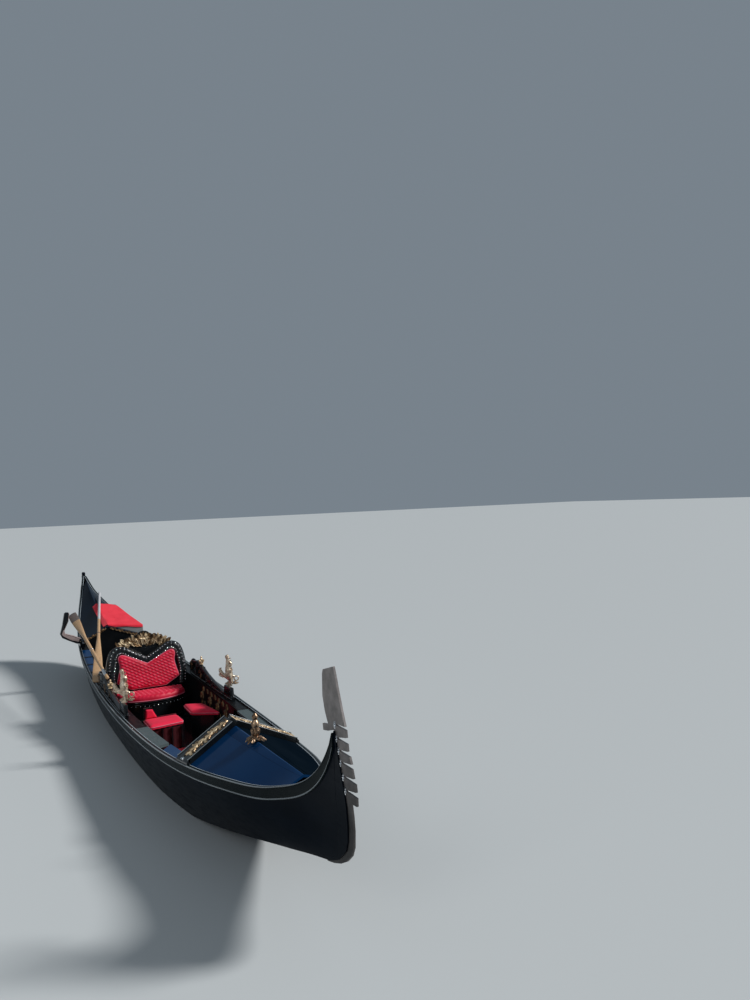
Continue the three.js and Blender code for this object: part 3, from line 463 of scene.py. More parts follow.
def leaf(build, start, heading, length, bend, place, height=0.006, broad=0.26, tag=0):
    """One curled leaf with a sunk midrib."""
    line = [np.array(start, float)]
    steps = 8
    for i in range(steps):
        angle = heading + bend * (i / steps) ** 1.4
        line.append(line[-1] + length / steps * np.array([math.cos(angle), math.sin(angle)]))
    shape = lambda t: length * broad * (math.sin(math.pi * min(1, 0.12 + 0.86 * t)) ** 0.8 + 0.04)
    lift = lambda t: height * (0.55 + 0.7 * math.sin(math.pi * t) + 0.5 * t**3)
    carve(build, line, shape, lift, place, LEAF_CROSS, tag)


def scroll_with_leaves(build, start, heading, size, hand, place, height=0.006, tag=0, leaves=5):
    """A carved spiral with a boss in its eye and leaves along its outside."""
    line = spiral(start, heading, size, hand)
    carve(build, line, lambda t: size * lerp(0.075, 0.045, t), lambda t: height, place, tag=tag)
    build.dome(place(*line[-1], 0), place(0, 0, 1) - place(0, 0, 0), size * 0.09, height * 1.2, tag)
    for k in range(leaves):
        at = int(len(line) * (0.12 + 0.62 * k / leaves))
        step = line[at + 1] - line[at]
        turn = math.atan2(step[1], step[0]) - hand * (0.7 + 0.1 * k)
        leaf(build, line[at], turn, size * (0.62 - 0.07 * k), hand * 1.2, place, height, tag=tag)


# Hull lines, as in the CAD source, in metres: x, sheer height, half widths to starboard and port there, and
# the bottom's share of those
SECTIONS = [
    (-5.530, 1.600, 0.044, 0.042, 0.75),
    (-5.150, 1.372, 0.117, 0.132, 0.36),
    (-4.600, 1.144, 0.227, 0.280, 0.38),
    (-3.800, 0.914, 0.359, 0.467, 0.48),
    (-2.800, 0.744, 0.470, 0.647, 0.58),
    (-1.500, 0.637, 0.540, 0.765, 0.65),
    (0.000, 0.601, 0.568, 0.782, 0.66),
    (1.500, 0.618, 0.545, 0.728, 0.65),
    (2.800, 0.678, 0.468, 0.618, 0.58),
    (3.700, 0.766, 0.341, 0.471, 0.48),
    (4.400, 0.880, 0.178, 0.268, 0.38),
    (4.850, 1.084, 0.058, 0.088, 0.40),
    (5.040, 1.312, 0.032, 0.036, 0.70),
    (5.075, 1.388, 0.030, 0.030, 0.75),
]
AFT_END, FORE_END = SECTIONS[0][0], SECTIONS[-1][0]
# The bottom's rise to the bow and its sweep up the stem, then the same aft: start, length, height, power
BOTTOM_RISES = ((1.8, 3.28, 0.59, 1.3), (4.88, 0.195, 0.025, 2),
                (-2.2, -2.7, 0.53, 1.6), (-4.9, -0.48, 0.3, 2))
# The rubbing band's thickness and height, its cap's thickness, and how far the cap reaches in
PROUD, BAND_HEIGHT, CAP, REACH = 0.014, 0.078, 0.016, 0.026
# The planks' thickness, the gap between neighbours, and the planks' swell
PLANK, GAP, BULGE = 0.018, 0.0003, 0.022
SIDES = (("starboard", -1), ("port", 1))


def lerp(a, b, t):
    return a + (b - a) * t


def columns_at(x):
    """The section table's columns at x, on the same cubic curve as the CAD source."""
    xs = [row[0] for row in SECTIONS]
    i = min(max(int(np.searchsorted(xs, x)), 1), len(xs) - 1)
    t0, t1 = xs[i - 1], xs[i]
    before = (i - 2, xs[i - 2]) if i > 1 else (i, 2 * t0 - t1)
    after = (i + 1, xs[i + 1]) if i + 1 < len(xs) else (i - 1, 2 * t1 - t0)
    half = (t1 - t0) / 2
    wp, wn = half / (t0 - before[1]), half / (after[1] - t1)
    p = (x - t0) / (t1 - t0)
    weights = (
        -wp * p**3 + 2 * wp * p**2 - wp * p,
        (1 + wp) * p**3 + (-1.5 - 2 * wp) * p**2 + (-0.5 + wp) * p + 1,
        (-1 - wn) * p**3 + (1.5 + wn) * p**2 + 0.5 * p,
        wn * p**3 - wn * p**2,
    )
    rows = [SECTIONS[k] for k in (before[0], i - 1, i, after[0])]
    return [sum(w * row[c] for w, row in zip(weights, rows)) for c in range(1, 5)]


def bottom_height(x):
    """The bottom is flat amidships, rises to both ends, and sweeps up at the stem and sternpost."""
    return sum(high * max(0.0, (x - start) / long) ** power for start, long, high, power in BOTTOM_RISES)


def section(x):
    """The hull across at x. Its half widths are keyed by side: -1 starboard, 1 port."""
    sheer, starboard, port, floor = columns_at(x)
    keel = x + 0.16 * max(0.0, -4.6 - x)
    bottom = bottom_height(keel)
    half = {-1: starboard - PROUD, 1: port - PROUD}
    return SimpleNamespace(
        x=x,
        keel=keel,
        bottom=bottom,
        sheer=sheer,
        top=sheer - CAP,
        half=half,
        floor={k: v * floor for k, v in half.items()},
        bulge=min(1.0, sum(half.values()) / 0.7),
    )


def side_point(s, sign, share, inset=0.0):
    """A point of the planks' outside. share: 0 at the bottom, 1 at the top. inset: in from the outside."""
    swell = BULGE * s.bulge * math.sin(math.pi * share)
    y = lerp(s.floor[sign], s.half[sign], share) + swell - inset
    return Vector((lerp(s.keel, s.x, share), sign * max(y, 0.002), lerp(s.bottom, s.top, share)))


def cap_inner(s, sign):
    """Half width to the inner edge of the gunwale's cap."""
    return max(s.half[sign] - REACH, 0.002)


def stations(start, end, pitch=0.08):
    count = max(2, round((end - start) / pitch))
    return [lerp(start, end, i / count) for i in range(count + 1)]


def end_stations():
    """Stations of the whole hull, closer together near its ends."""
    return stations(AFT_END, -4.4, 0.04) + stations(-4.4, 3.9)[1:] + stations(3.9, FORE_END, 0.035)[1:]


SIDE_SHARES = [0, 0.08, 0.2, 0.35, 0.5, 0.65, 0.8, 0.92, 1]
HULL_PARTS = ("aft", "middle", "fore")


def add_hull():
    stops = end_stations()
    rings = []
    for s in map(section, stops):
        share = PLANK / (s.top - s.bottom)
        corners = ((-1, 0), (1, 0), (1, share), (-1, share))
        rings.append([side_point(s, *corner) for corner in corners])
    loft("bottom_planking", rings, "hull", "black", [f"hull_bottom_{part}" for part in HULL_PARTS])
    for name, sign in SIDES:
        rings = []
        for s in map(section, stops):
            first = (PLANK + GAP) / (s.top - s.bottom)
            shares = [first] + SIDE_SHARES[1:]
            outer = [side_point(s, sign, t) for t in shares]
            inner = [side_point(s, sign, t, PLANK) for t in shares]
            rings.append(outer + inner[::-1])
        count = len(SIDE_SHARES)
        nodes = [f"side_planks_{name}_{part}" for part in HULL_PARTS]
        strips = [0] * count + [1] * count
        loft(f"side_planking_{name}", rings, ("hull", "inside"), "black", nodes, strips)


# Rubbing band: out from the planks and up from their top edge, and the material of the strip that follows: 0
# the band, 1 a grey line painted as the sky's reflection on its mouldings, 2 a pale line painted as the
# highlight on the cap's edge
BAND = [
    (-0.0250, 0.0162, 2),
    (-0.0238, 0.0172, 2),
    (-0.0205, 0.0172, 2),
    (-0.0192, 0.0160, 0),
    (0.0040, 0.0160, 1),
    (0.0085, 0.0166, 1),
    (0.0122, 0.0150, 1),
    (0.0137, 0.0110, 0),
    (0.0137, 0.0070, 0),
    (0.0100, 0.0040, 0),
    (0.0090, 0.0000, 0),
    (0.0090, -0.0640, 1),
    (0.0120, -0.0655, 1),
    (0.0138, -0.0700, 1),
    (0.0125, -0.0740, 0),
    (0.0090, -0.0775, 0),
]


def add_bands():
    for name, sign in SIDES:
        rings = []
        for s in map(section, end_stations()):
            height = s.top - s.bottom
            inner = cap_inner(s, sign)
            ring = [side_point(s, sign, 1 - BAND_HEIGHT / height) + Vector((0, sign * GAP, 0))]
            ring += [side_point(s, sign, 1) + Vector((0, sign * GAP, GAP))]
            ring += [Vector((s.x, sign * inner, s.top + GAP)), Vector((s.x, sign * inner, s.sheer - 0.002))]
            for out, up, _ in BAND:
                p = side_point(s, sign, 1 + min(up, 0) / height)
                p.z += max(up, 0)
                p.y = sign * max(abs(p.y) + out, inner + 0.0005)
                ring.append(p)
            rings.append(ring)
        strips = [0, 0, 0, 0] + [tag for _, _, tag in BAND]
        finishes = ("band", "line", "bright_line")
        loft(f"rubbing_band_{name}", rings, finishes, "moulding", [f"gunwale_{name}"], strips)


FORE_DECK = SimpleNamespace(aft=2.960, fore=4.550, ridge=(0.950, 0.972), thick=0.016)
AFT_DECK = SimpleNamespace(aft=-5.230, fore=-3.080, crown=(0.205, 0.130), thick=0.016)


def ridge_height(x, deck):
    if deck is FORE_DECK:
        return lerp(*deck.ridge, (x - deck.aft) / (deck.fore - deck.aft))
    t = (deck.fore - x) / (deck.fore - deck.aft)
    return section(x).sheer + lerp(*deck.crown, t**2)


def deck_top(x, y, deck):
    s = section(x)
    edge = cap_inner(s, 1 if y > 0 else -1) - GAP
    return lerp(ridge_height(x, deck), s.sheer, min(1.0, abs(y) / edge))


# A slope from the cap up to the ridge: shares of the half width, and how far each point lies under the slope
DECK_SLOPE = ((1, 0), (0.6, 0), (0.208, 0), (0.2, 0.0022), (0.192, 0), (0.04, 0), (0.012, 0.0006))


def add_decks():
    """Both decks: two slopes, a small round along the ridge and a sunk seam along each slope."""
    # The fore deck's starboard slope has the blue painted sky reflection; its port slope stays near black
    for node, deck, finishes in (("fore_deck", FORE_DECK, ("deck", "deck_shade")),
                                 ("aft_deck", AFT_DECK, ("deck_aft", "deck_aft"))):
        rings = []
        for x in stations(deck.aft, deck.fore, 0.06):
            s = section(x)
            ridge = ridge_height(x, deck)
            under = [Vector((x, sign * (cap_inner(s, sign) - GAP), s.sheer - deck.thick)) for sign in (-1, 1)]
            under.insert(1, Vector((x, 0, ridge - deck.thick - 0.003)))
            over = []
            for sign in (1, -1):
                edge = cap_inner(s, sign) - GAP
                half = [Vector((x, sign * edge * t, lerp(ridge, s.sheer, t) - drop))
                        for t, drop in DECK_SLOPE]
                over += half if sign > 0 else half[::-1]
            rings.append(under + over)
        count = len(DECK_SLOPE)
        strips = [0] * 3 + [1] * (count - 1) + [0] * (count + 1)
        loft(f"{node}_skin", rings, finishes, "deck", [node], strips, smooth=25.0)


# Couch, as in the CAD source, in metres
COUCH_Y = 0.080
SEAT_TOP, SEAT_FRONT, SEAT_BACK = 0.500, -0.222, -0.625
RECLINE = math.radians(10)
BACK_HALF = [(0, 0.876), (0.130, 0.955), (0.302, 1.062), (0.432, 1.015), (0.490, 0.860), (0.497, 0.700),
             (0.472, 0.580)]
BACK_FOOT = [(0.468, 0.450), (0.462, 0.436)]
PAD_HALF = [(0, 0.812), (0.150, 0.884), (0.300, 0.950), (0.352, 0.912), (0.338, 0.800), (0.386, 0.614)]
PAD_FOOT = [(0.214, 0.516)]


def mirrored(half, foot, steps=6):
    """Closed outline from a smooth right half and a straight foot, about the couch's middle."""
    right = [tuple(p) for p in curve_through(half, steps)] + foot
    whole = right + [(-u, v) for u, v in right[::-1] if u > 1e-6]
    return [np.array((u + COUCH_Y, v)) for u, v in whole]


def reclined(u, v, out):
    """A point of the couch's back: u across, v up before the recline, out ahead of the back's plane."""
    c, t = math.cos(RECLINE), math.sin(RECLINE)
    rise = v - SEAT_TOP
    return Vector((SEAT_BACK - 0.012 + out * c - rise * t, u, SEAT_TOP + out * t + rise * c))


def edge_distance(points, line):
    """Distance of each 2-D point from a closed outline."""
    a = np.array(line)
    b = np.roll(a, -1, axis=0)
    span = b - a
    rel = points[:, None, :] - a[None]
    t = np.clip((rel * span).sum(2) / ((span**2).sum(1) + 1e-12), 0, 1)
    return np.linalg.norm(rel - t[..., None] * span, axis=2).min(1)


def remeshed(points, faces, voxel):
    """Points and faces of even quads over a closed body."""
    mesh = mesh_of("rough", points, faces)
    obj = bpy.data.objects.new("rough", mesh)
    bpy.context.scene.collection.objects.link(obj)
    modifier = obj.modifiers.new("even", "REMESH")
    modifier.mode = "VOXEL"
    modifier.voxel_size = voxel
    made = obj.evaluated_get(bpy.context.evaluated_depsgraph_get()).to_mesh()
    count = len(made.vertices)
    out = np.zeros(count * 3, np.float32)
    made.vertices.foreach_get("co", out)
    polygons = [tuple(q.vertices) for q in made.polygons]
    bpy.data.objects.remove(obj)
    bpy.data.meshes.remove(mesh)
    return out.reshape(-1, 3).astype(float), polygons


def prism(line, low, high):
    """Points and faces of a closed outline raised from low to high."""
    count = len(line)
    points = [(p[0], p[1], z) for z in (low, high) for p in line]
    faces = [tuple(range(count))[::-1], tuple(range(count, 2 * count))]
    faces += [(i, (i + 1) % count, count + (i + 1) % count, count + i) for i in range(count)]
    return points, faces


def raised(low):
    """Places (u, v, out) at x, y and a height over low."""
    return lambda u, v, out: Vector((u, v, low + out))


RIBBED_VOXEL = 0.0065


def cushion(name, line, thick, place, finish, node, crown=0.07, rest=True, ribs=None, voxel=0.008, seam=0.42,
            level_back=None):
    """Stuffed pad over an outline, thick in the middle and thin at its seam.
    crown: how far in from the seam it is fully thick. seam: the share of its thickness at the seam.
    rest: its underside stays flat. ribs: (direction, pitch, depth) of the sewn rows on its face.
    level_back: aft of this x the pad keeps its full thickness."""
    points, faces = remeshed(*prism(line, 0, thick), voxel)
    depth = edge_distance(points[:, :2], line)
    share = np.clip(points[:, 2] / thick, 0, 1)
    swell = np.sqrt(1 - (1 - np.clip(depth / crown, 0, 1)) ** 2)
    if level_back is not None:
        swell = np.maximum(swell, np.clip((level_back - points[:, 0]) / 0.06, 0, 0.9))
    if rest:
        points[:, 2] = share * thick * (seam + (1 - seam) * swell)
    else:
        points[:, 2] = thick / 2 + (share - 0.5) * thick * (seam + (1 - seam) * swell)
    if ribs:
        direction, pitch, rise = ribs
        along = points[:, 0] * math.cos(direction) + points[:, 1] * math.sin(direction)
        cross = -points[:, 0] * math.sin(direction) + points[:, 1] * math.cos(direction)
        row = np.abs(np.sin(math.pi * cross / pitch)) ** 0.55 - 0.75
        knot = 0.16 * np.cos(2 * math.pi * along / (pitch * 1.7) + math.pi * np.floor(cross / pitch))
        fade = np.clip(depth / 0.02, 0, 1) * np.clip((share - 0.45) / 0.3, 0, 1)
        points[:, 2] += rise * (row + knot) * fade
    build = Build()
    build.add([place(*p) for p in points], faces)
    made = build.piece(name, finish, "red", node, smooth=180.0)
    if ribs:
        add_stitches(f"{name}_stitches", points[share > 0.8], line, ribs, place)
    return made


def inside(line, u, v):
    """Whether a point lies in a closed outline."""
    crossed = False
    for p, q in zip(line, line[1:] + line[:1]):
        if (p[1] > v) != (q[1] > v) and u < p[0] + (v - p[1]) * (q[0] - p[0]) / (q[1] - p[1]):
            crossed = not crossed
    return crossed


# Stitches: half their length as a share of the ribs' pitch, radius, and least distance from the seam
STITCH = {"long": 0.42, "radius": 0.0019, "edge": 0.022}


def add_stitches(name, top, line, ribs, place):
    """One bright stitch on the crest of each tuft of a ribbed cushion: real thread that also paints the
    highlights of the silk's sheen.
    """
    direction, pitch, _ = ribs
    c, s = math.cos(direction), math.sin(direction)
    step = 1.7 * pitch
    reach = int(max(abs(p).max() for p in line) * 2.4 / pitch)
    build = Build()
    for row in range(-reach, reach):
        for k in range(-reach, reach):
            along, cross = (k - row / 2) * step, (row + 0.5) * pitch
            ends = []
            for shift in (-1, 0, 1):
                a = along + shift * STITCH["long"] * pitch
                u, v = a * c - cross * s, a * s + cross * c
                near = np.argmin((top[:, 0] - u) ** 2 + (top[:, 1] - v) ** 2)
                ends.append((u, v, top[near, 2]))
            u, v, _ = ends[1]
            if inside(line, u, v) and edge_distance(np.array([[u, v]]), line)[0] > STITCH["edge"]:
                high = max(p[2] for p in ends)
                radii = [STITCH["radius"] * q for q in (0.5, 1, 0.5)]
                build.tube([place(p[0], p[1], high) for p in ends], radii, 6)
    build.piece(name, "stitch", "red")


def piping(name, line, place, out, radius):
    """Round cord sewn along a cushion's seam."""
    build = Build()
    ring = [place(p[0], p[1], out) for p in even_points(line, 0.014, closed=True)]
    away = place(0, 0, 1) - place(0, 0, 0)
    build.tube(ring, radius, 8, closed=True, across=away)
    build.piece(name, "piping", "red")


ROLL_HALF = [(0, 0.846), (0.140, 0.922), (0.296, 1.006), (0.388, 0.968), (0.420, 0.850), (0.442, 0.705),
             (0.432, 0.580), (0.425, 0.485)]
ROLL = {"wide": 0.056, "deep": 0.047, "out": -0.004, "tuft": 0.052, "pinch": 0.05, "pitch": 0.006,
        "sides": 16}
# Its studs: size, how many steps apart, and each row's place across the roll and lift
STUD = {"radius": 0.0085, "high": 0.0070, "every": 6, "rows": ((0.62, 0.80), (-0.5, 0.86))}
# The shell's levels: out from the back's plane, and how far the outline draws in
SHELL_LEVELS = ((-0.060, 0.010), (-0.056, 0.003), (-0.050, 0.0), (-0.016, 0.0), (-0.010, 0.003),
                (-0.006, 0.012))
SHELL_MIDDLE = np.array((COUCH_Y, 0.72))


def add_couch_back():
    """Heart shaped back: a plain shell, a tufted roll round it, and a quilted cushion in the middle."""
    line = even_points(mirrored(BACK_HALF, BACK_FOOT), 0.02, closed=True)
    inward = [(SHELL_MIDDLE - p) / np.linalg.norm(SHELL_MIDDLE - p) for p in line]
    rings = [[reclined(*(p + n * inset), out) for p, n in zip(line, inward)] for out, inset in SHELL_LEVELS]
    loft("couch_back_shell", rings, "trim", "black", ["couch_back"], smooth=40.0)
    add_roll()
    line = mirrored(PAD_HALF, PAD_FOOT)
    ribs = (math.radians(-30), 0.033, 0.007)
    cushion("couch_back_pad", line, 0.062, reclined, "red", ["couch_back_cushion"], rest=False, ribs=ribs,
            voxel=RIBBED_VOXEL)
    piping("couch_back_piping", line, reclined, 0.040, 0.0062)


def add_roll():
    """Leather roll pinched between its tufts, with two rows of bright studs."""
    half = [tuple(p) for p in curve_through(ROLL_HALF, 8)]
    path = [(-u, v) for u, v in half[::-1]][:-1] + half
    path = even_points([np.array((u + COUCH_Y, v)) for u, v in path], ROLL["pitch"])
    last = len(path) - 1
    wide, deep, out = ROLL["wide"], ROLL["deep"], ROLL["out"]
    roll, studs = Build(), Build()
    rings = []
    for i, p in enumerate(path):
        step = path[min(i + 1, last)] - path[max(i - 1, 0)]
        step = step / np.linalg.norm(step)
        normal = np.array((-step[1], step[0]))
        phase = (i * ROLL["pitch"] / ROLL["tuft"]) % 1 - 0.5
        pinch = 1 - ROLL["pinch"] * math.exp(-((abs(phase) - 0.5) / 0.14) ** 2)
        end = min(1, (min(i, last - i) * ROLL["pitch"] / 0.03 + 0.25)) ** 0.5
        ring = []
        for a in around(ROLL["sides"]):
            fold = 1 + 0.05 * math.cos(3 * a) * (1 - pinch) / ROLL["pinch"]
            spot = p + normal * wide * pinch * end * fold * math.cos(a)
            ring.append(reclined(*spot, out + deep * pinch * end * fold * math.sin(a)))
        rings.append(ring)
        if i % STUD["every"] == 0 and STUD["every"] < i < last - 5:
            for share, lift in STUD["rows"]:
                spot = p + normal * wide * share * (0.9 + 0.1 * pinch)
                outward = (reclined(*(p + normal * share), 1.2) - reclined(*p, 0)).normalized()
                studs.dome(reclined(*spot, out + deep * lift * pinch), outward, STUD["radius"], STUD["high"])
    roll.rings(rings)
    roll.piece("couch_back_roll", "leather", "black", smooth=180.0)
    studs.piece("couch_back_studs", "steel", "iron")


# The couch's bowed front: out from the middle, and how far behind the front
COUCH_FRONT = [(0.400, 0.190), (0.350, 0.124), (0.260, 0.062), (0.130, 0.016), (0, 0)]
# The base's mouldings by height and radius, and the row of studs under the upper two
BASE_MOULDINGS = ((0.418, 0.010), (0.392, 0.005), (0.196, 0.010))
BASE_STUDS = {"height": 0.372, "pitch": 0.055, "radius": 0.0075, "high": 0.005}


def seat_outline(back, front, half):
    """Straight sides and back, front bowed forwards with well rounded corners; x first."""
    bow = [(front - step, -out * half / 0.4) for out, step in COUCH_FRONT]
    bow += [(x, -y) for x, y in bow[-2::-1]]
    points = [(back, -half)] + curve_through(bow, 5) + [(back, half)]
    return [np.array((x, y + COUCH_Y)) for x, y in points]


def add_couch_seat():
    """A pad that stays thick at the back and rolls over its front edge, ribbed to its lower seam."""
    line = seat_outline(SEAT_BACK + 0.016, SEAT_FRONT, 0.402)
    place = raised(SEAT_TOP - 0.0735)
    ribs = (math.radians(135), 0.042, 0.010)
    cushion("couch_seat_pad", line, 0.076, place, "red", ["couch_seat"], crown=0.045, ribs=ribs,
            voxel=RIBBED_VOXEL, seam=0.30, level_back=SEAT_BACK + 0.12)
    piping("couch_seat_piping", line, place, 0.012, 0.006)
    base = Build()
    front = [p for p in seat_outline(SEAT_BACK, SEAT_FRONT - 0.014, 0.393) if p[0] > SEAT_BACK + 0.001]
    for height, radius in BASE_MOULDINGS:
        base.tube([Vector((p[0] + 0.004, p[1], height)) for p in front], radius, 8, across=UP)
    for p in even_points(front, BASE_STUDS["pitch"])[1:-1]:
        spot = Vector((p[0] + 0.002, p[1], BASE_STUDS["height"]))
        base.dome(spot, AHEAD, BASE_STUDS["radius"], BASE_STUDS["high"], tag=1)
    base.piece("couch_front_mouldings", ("trim", "steel"), "black")


# The low seats' cushions, by their corners in x and y, as in the CAD source
CHAIRS = (
    {"name": "starboard", "top": 0.462,
     "plan": ((0.640, -0.256), (0.975, -0.256), (0.925, 0.122), (0.640, 0.118))},
    {"name": "port", "top": 0.448,
     "plan": ((0.206, 0.302), (0.606, 0.286), (0.796, 0.570), (0.300, 0.512))},
)
CHAIR_PAD = 0.045
# The starboard chair's low back: where it starts, and its corners in y and above the seat
WING = {"aft": 0.6405, "corners": ((-0.234, 0), (-0.106, 0), (-0.156, 0.096), (-0.226, 0.100))}


def rounded(corners, radius):
    """A convex outline, anticlockwise, with its corners rounded."""
    steps = 4
    points = [np.array(p, float) for p in corners]
    line = []
    for i, p in enumerate(points):
        before, after = points[i - 1] - p, points[(i + 1) % len(points)] - p
        before, after = before / np.linalg.norm(before), after / np.linalg.norm(after)
        first, last = p + before * radius, p + after * radius
        for k in range(steps + 1):
            t = k / steps
            line.append((1 - t) ** 2 * first + 2 * t * (1 - t) * p + t**2 * last)
    return line


def box_corners(x, y):
    return [(x[0], y[0]), (x[1], y[0]), (x[1], y[1]), (x[0], y[1])]


def add_chairs():
    for chair in CHAIRS:
        name = chair["name"]
        line = rounded(chair["plan"], 0.035)
        place = raised(chair["top"] - CHAIR_PAD)
        cushion(f"chair_{name}_pad", line, 0.050, place, "chair_red", [f"chair_{name}_seat"], crown=0.06)
        piping(f"chair_{name}_piping", line, place, 0.024, 0.0045)
    wing = [np.array((y, CHAIRS[0]["top"] + z)) for y, z in WING["corners"]]
    place = lambda u, v, out: Vector((WING["aft"] + out, u, v))
    cushion("chair_wing_pad", wing, 0.024, place, "chair_red", [], crown=0.018, voxel=0.004)


CHAIR_FRONT = {"x": 0.9403, "y": (-0.236, 0.100), "z": (0.164, 0.404), "fold": 0.048}
CHAIR_POSTS = {"count": 4, "pitch": 0.10, "foot": 0.1595, "out": 0.013}
CHAIR_POST = [(0.010, 0), (0.012, 0.02), (0.007, 0.03), (0.009, 0.08), (0.012, 0.12), (0.008, 0.15),
              (0.007, 0.19), (0.011, 0.21), (0.011, 0.245)]


def add_chair_front():
    """A red cloth panel across the starboard chair's stand, behind turned black posts; its red is darkened as
    painted shade under the seat.
    """
    x, (right, left), heights = CHAIR_FRONT["x"], CHAIR_FRONT["y"], CHAIR_FRONT["z"]
    rings = []
    for y in stations(right, left, 0.012):
        bow = 0.003 + 0.002 * math.cos(2 * math.pi * (y - right) / CHAIR_FRONT["fold"])
        rings.append([Vector((u, y, v)) for u, v in box_corners((x, x + bow), heights)])
    made = loft("chair_front_cloth", rings, "deep_red", "red")
    posts = Build()
    for y in stations(right + 0.012, left - 0.012, CHAIR_POSTS["pitch"])[: CHAIR_POSTS["count"]]:
        posts.lathe(Vector((x + CHAIR_POSTS["out"], y, CHAIR_POSTS["foot"])), CHAIR_POST, 12)
    posts.piece("chair_front_posts", "trim", "black", smooth=50.0)


# Crest: carved and gilded leaves and scrolls on a thin board, the same on both faces
CREST = {"x": -0.850, "foot": 0.9855, "half_thick": 0.006, "reach": 0.36}
CREST_HALF = [(0, 0.222), (0.05, 0.21), (0.10, 0.168), (0.17, 0.158), (0.21, 0.118), (0.265, 0.104),
              (0.305, 0.06), (0.315, 0.012)]
# Its scrolls: start, heading, size, hand, height and finish
CREST_SCROLLS = (
    ((0.03, 0.02), 0.55, 0.11, 1, 0.012, 1),
    ((0.12, 0.03), 0.9, 0.09, -1, 0.013, 0),
    ((0.20, 0.015), 0.35, 0.08, 1, 0.011, 1),
)


def add_crest():
    x, crest_foot, half_thick = CREST["x"], CREST["foot"], CREST["half_thick"]
    line = mirrored([(u, v + crest_foot) for u, v in CREST_HALF], [(0.31, crest_foot)], 4)
    faces = [[Vector((x + dx, *p)) for p in line] for dx in (-half_thick, half_thick)]
    loft("crest_board", faces, "trim", "gilt", ["crest"], smooth=40.0)
    gold = Build()
    fall = lambda u: 1 - (u / CREST["reach"]) ** 2
    for face in (1, -1):
        place = lambda u, v, out: Vector((x + face * (half_thick + out), COUCH_Y + u, crest_foot + v))
        for side in (1, -1):
            flip = lambda u, v, out: place(side * u, v, out)
            for start, heading, size, hand, height, tag in CREST_SCROLLS:
                scroll_with_leaves(gold, start, heading, size, hand, flip, height, tag=tag)
            for k in range(15):
                u = 0.010 + 0.021 * k
                tall = (0.085 * fall(u) + 0.030) * random.uniform(0.8, 1.1)
                turn = math.pi / 2 + random.uniform(-0.8, 0.6) - 1.3 * u
                bend = random.choice((-1, 1))
                leaf(gold, (u, 0.012 + 0.3 * tall), turn, tall, bend, flip, 0.014, 0.2, tag=k % 2)
            for k in range(11):
                u = 0.02 + 0.028 * k
                turn = math.pi / 2 + random.uniform(-0.5, 0.5) - 2.2 * u
                long = random.uniform(0.055, 0.08)
                bend = random.choice((-1, 1))
                leaf(gold, (u, 0.11 * fall(u) + 0.015), turn, long, bend, flip, 0.016, 0.24, tag=(k // 2) % 2)
        for k in range(-3, 4):
            turn = math.pi / 2 + k * 0.42
            leaf(gold, (0, 0.12), turn, 0.09 - 0.006 * abs(k), 0.1 * k, place, 0.016, 0.2, tag=(k + 3) % 2)
        gold.dome(place(0, 0.115, 0.006), AHEAD * face, 0.018, 0.014, sides=14)
    gold.piece("crest_carving", ("gilt", "gilt_dark"), "gilt", smooth=50.0)


# Border boards: a dark board up each slope with a raised edge and a gilded run of scrolls
BORDER = {"aft": 2.900, "fore": 3.130, "high": 0.04472, "lift": 0.0015}
# A board's section: the share of its width, and the height over the deck
BORDER_RING = ((0, 0), (0, 0.04172), (0.02, 0.04472), (0.075, 0.04472), (0.095, 0.04072), (0.905, 0.04072),
               (0.925, 0.04472), (0.98, 0.04472), (1, 0.04172), (1, 0))
FIELD_STRIP = 4
# A board's foot on the rubbing band: the share across the band, and the height there
BORDER_TOE = ((0, 0.050), (0.5, 0.035), (1, 0.020))
BORDER_KNOB = {"share": 0.35, "height": 0.0395, "radius": 0.027, "high": 0.006}
STEM_WAVE = 0.034


def add_borders():
    for name, sign in SIDES:
        aft, fore = section(BORDER["aft"]), section(BORDER["fore"])
        edges = [cap_inner(s, sign) - 0.004 for s in (aft, fore)]
        rise = ridge_height(3.0, FORE_DECK) - fore.sheer
        slope = math.atan2(rise, edges[1])

        def place(u, v, out):
            """u: 0 at the ridge, 1 at the cap. v: 0 at the aft edge, 1 at the fore edge."""
            x = lerp(BORDER["aft"], BORDER["fore"], v)
            y = lerp(*edges, v) * u + 0.001
            deck = deck_top(max(x, FORE_DECK.aft), sign * y, FORE_DECK)
            across = sign * (y + out * math.sin(slope))
            return Vector((x, across, deck + BORDER["lift"] + out * math.cos(slope)))

        board = Build()
        rings = [[place(i / 14, v, out) for v, out in BORDER_RING] for i in range(15)]
        # The field is pale gilt on the sunlit port board and black on the starboard one: painted light and
        # shade on one field
        lit_side = 1 if sign > 0 else 0
        board.rings(rings, strips=[lit_side if i == FIELD_STRIP else 0 for i in range(len(BORDER_RING))])
        toe = []
        for share, height in BORDER_TOE:
            ys = [sign * lerp(cap_inner(s, sign), s.half[sign] + 0.003, share) for s in (aft, fore)]
            low, high = ([Vector((s.x, y, s.sheer + up)) for s, y in zip((aft, fore), ys)]
                         for up in (0.0008, height))
            toe.append([low[0], high[0], high[1], low[1]])
        board.rings(toe)
        if name == "starboard":
            s = section((BORDER["aft"] + BORDER["fore"]) / 2)
            y = sign * lerp(cap_inner(s, sign), s.half[sign], BORDER_KNOB["share"])
            spot = Vector((s.x, y, s.sheer + BORDER_KNOB["height"]))
            board.dome(spot, UP, BORDER_KNOB["radius"], BORDER_KNOB["high"], tag=2, sides=12)
        finishes = ("trim", "gilt_field_painted_sunlit", "steel")
        board.piece(f"border_frame_{name}", finishes, "black", [f"border_board_{name}"], smooth=30.0)
        add_border_carving(name, sign, place, (cap_inner(fore, sign) ** 2 + rise**2) ** 0.5)
        lines = Build()
        for v in (0.02, 0.98):
            top = [place(u, v, BORDER["high"] + 0.0005) for u in np.linspace(0.0, 1, 20)]
            lines.tube(top, 0.0035, 6, across=AHEAD)
        lines.piece(f"border_edge_lines_{name}", "line", "moulding")


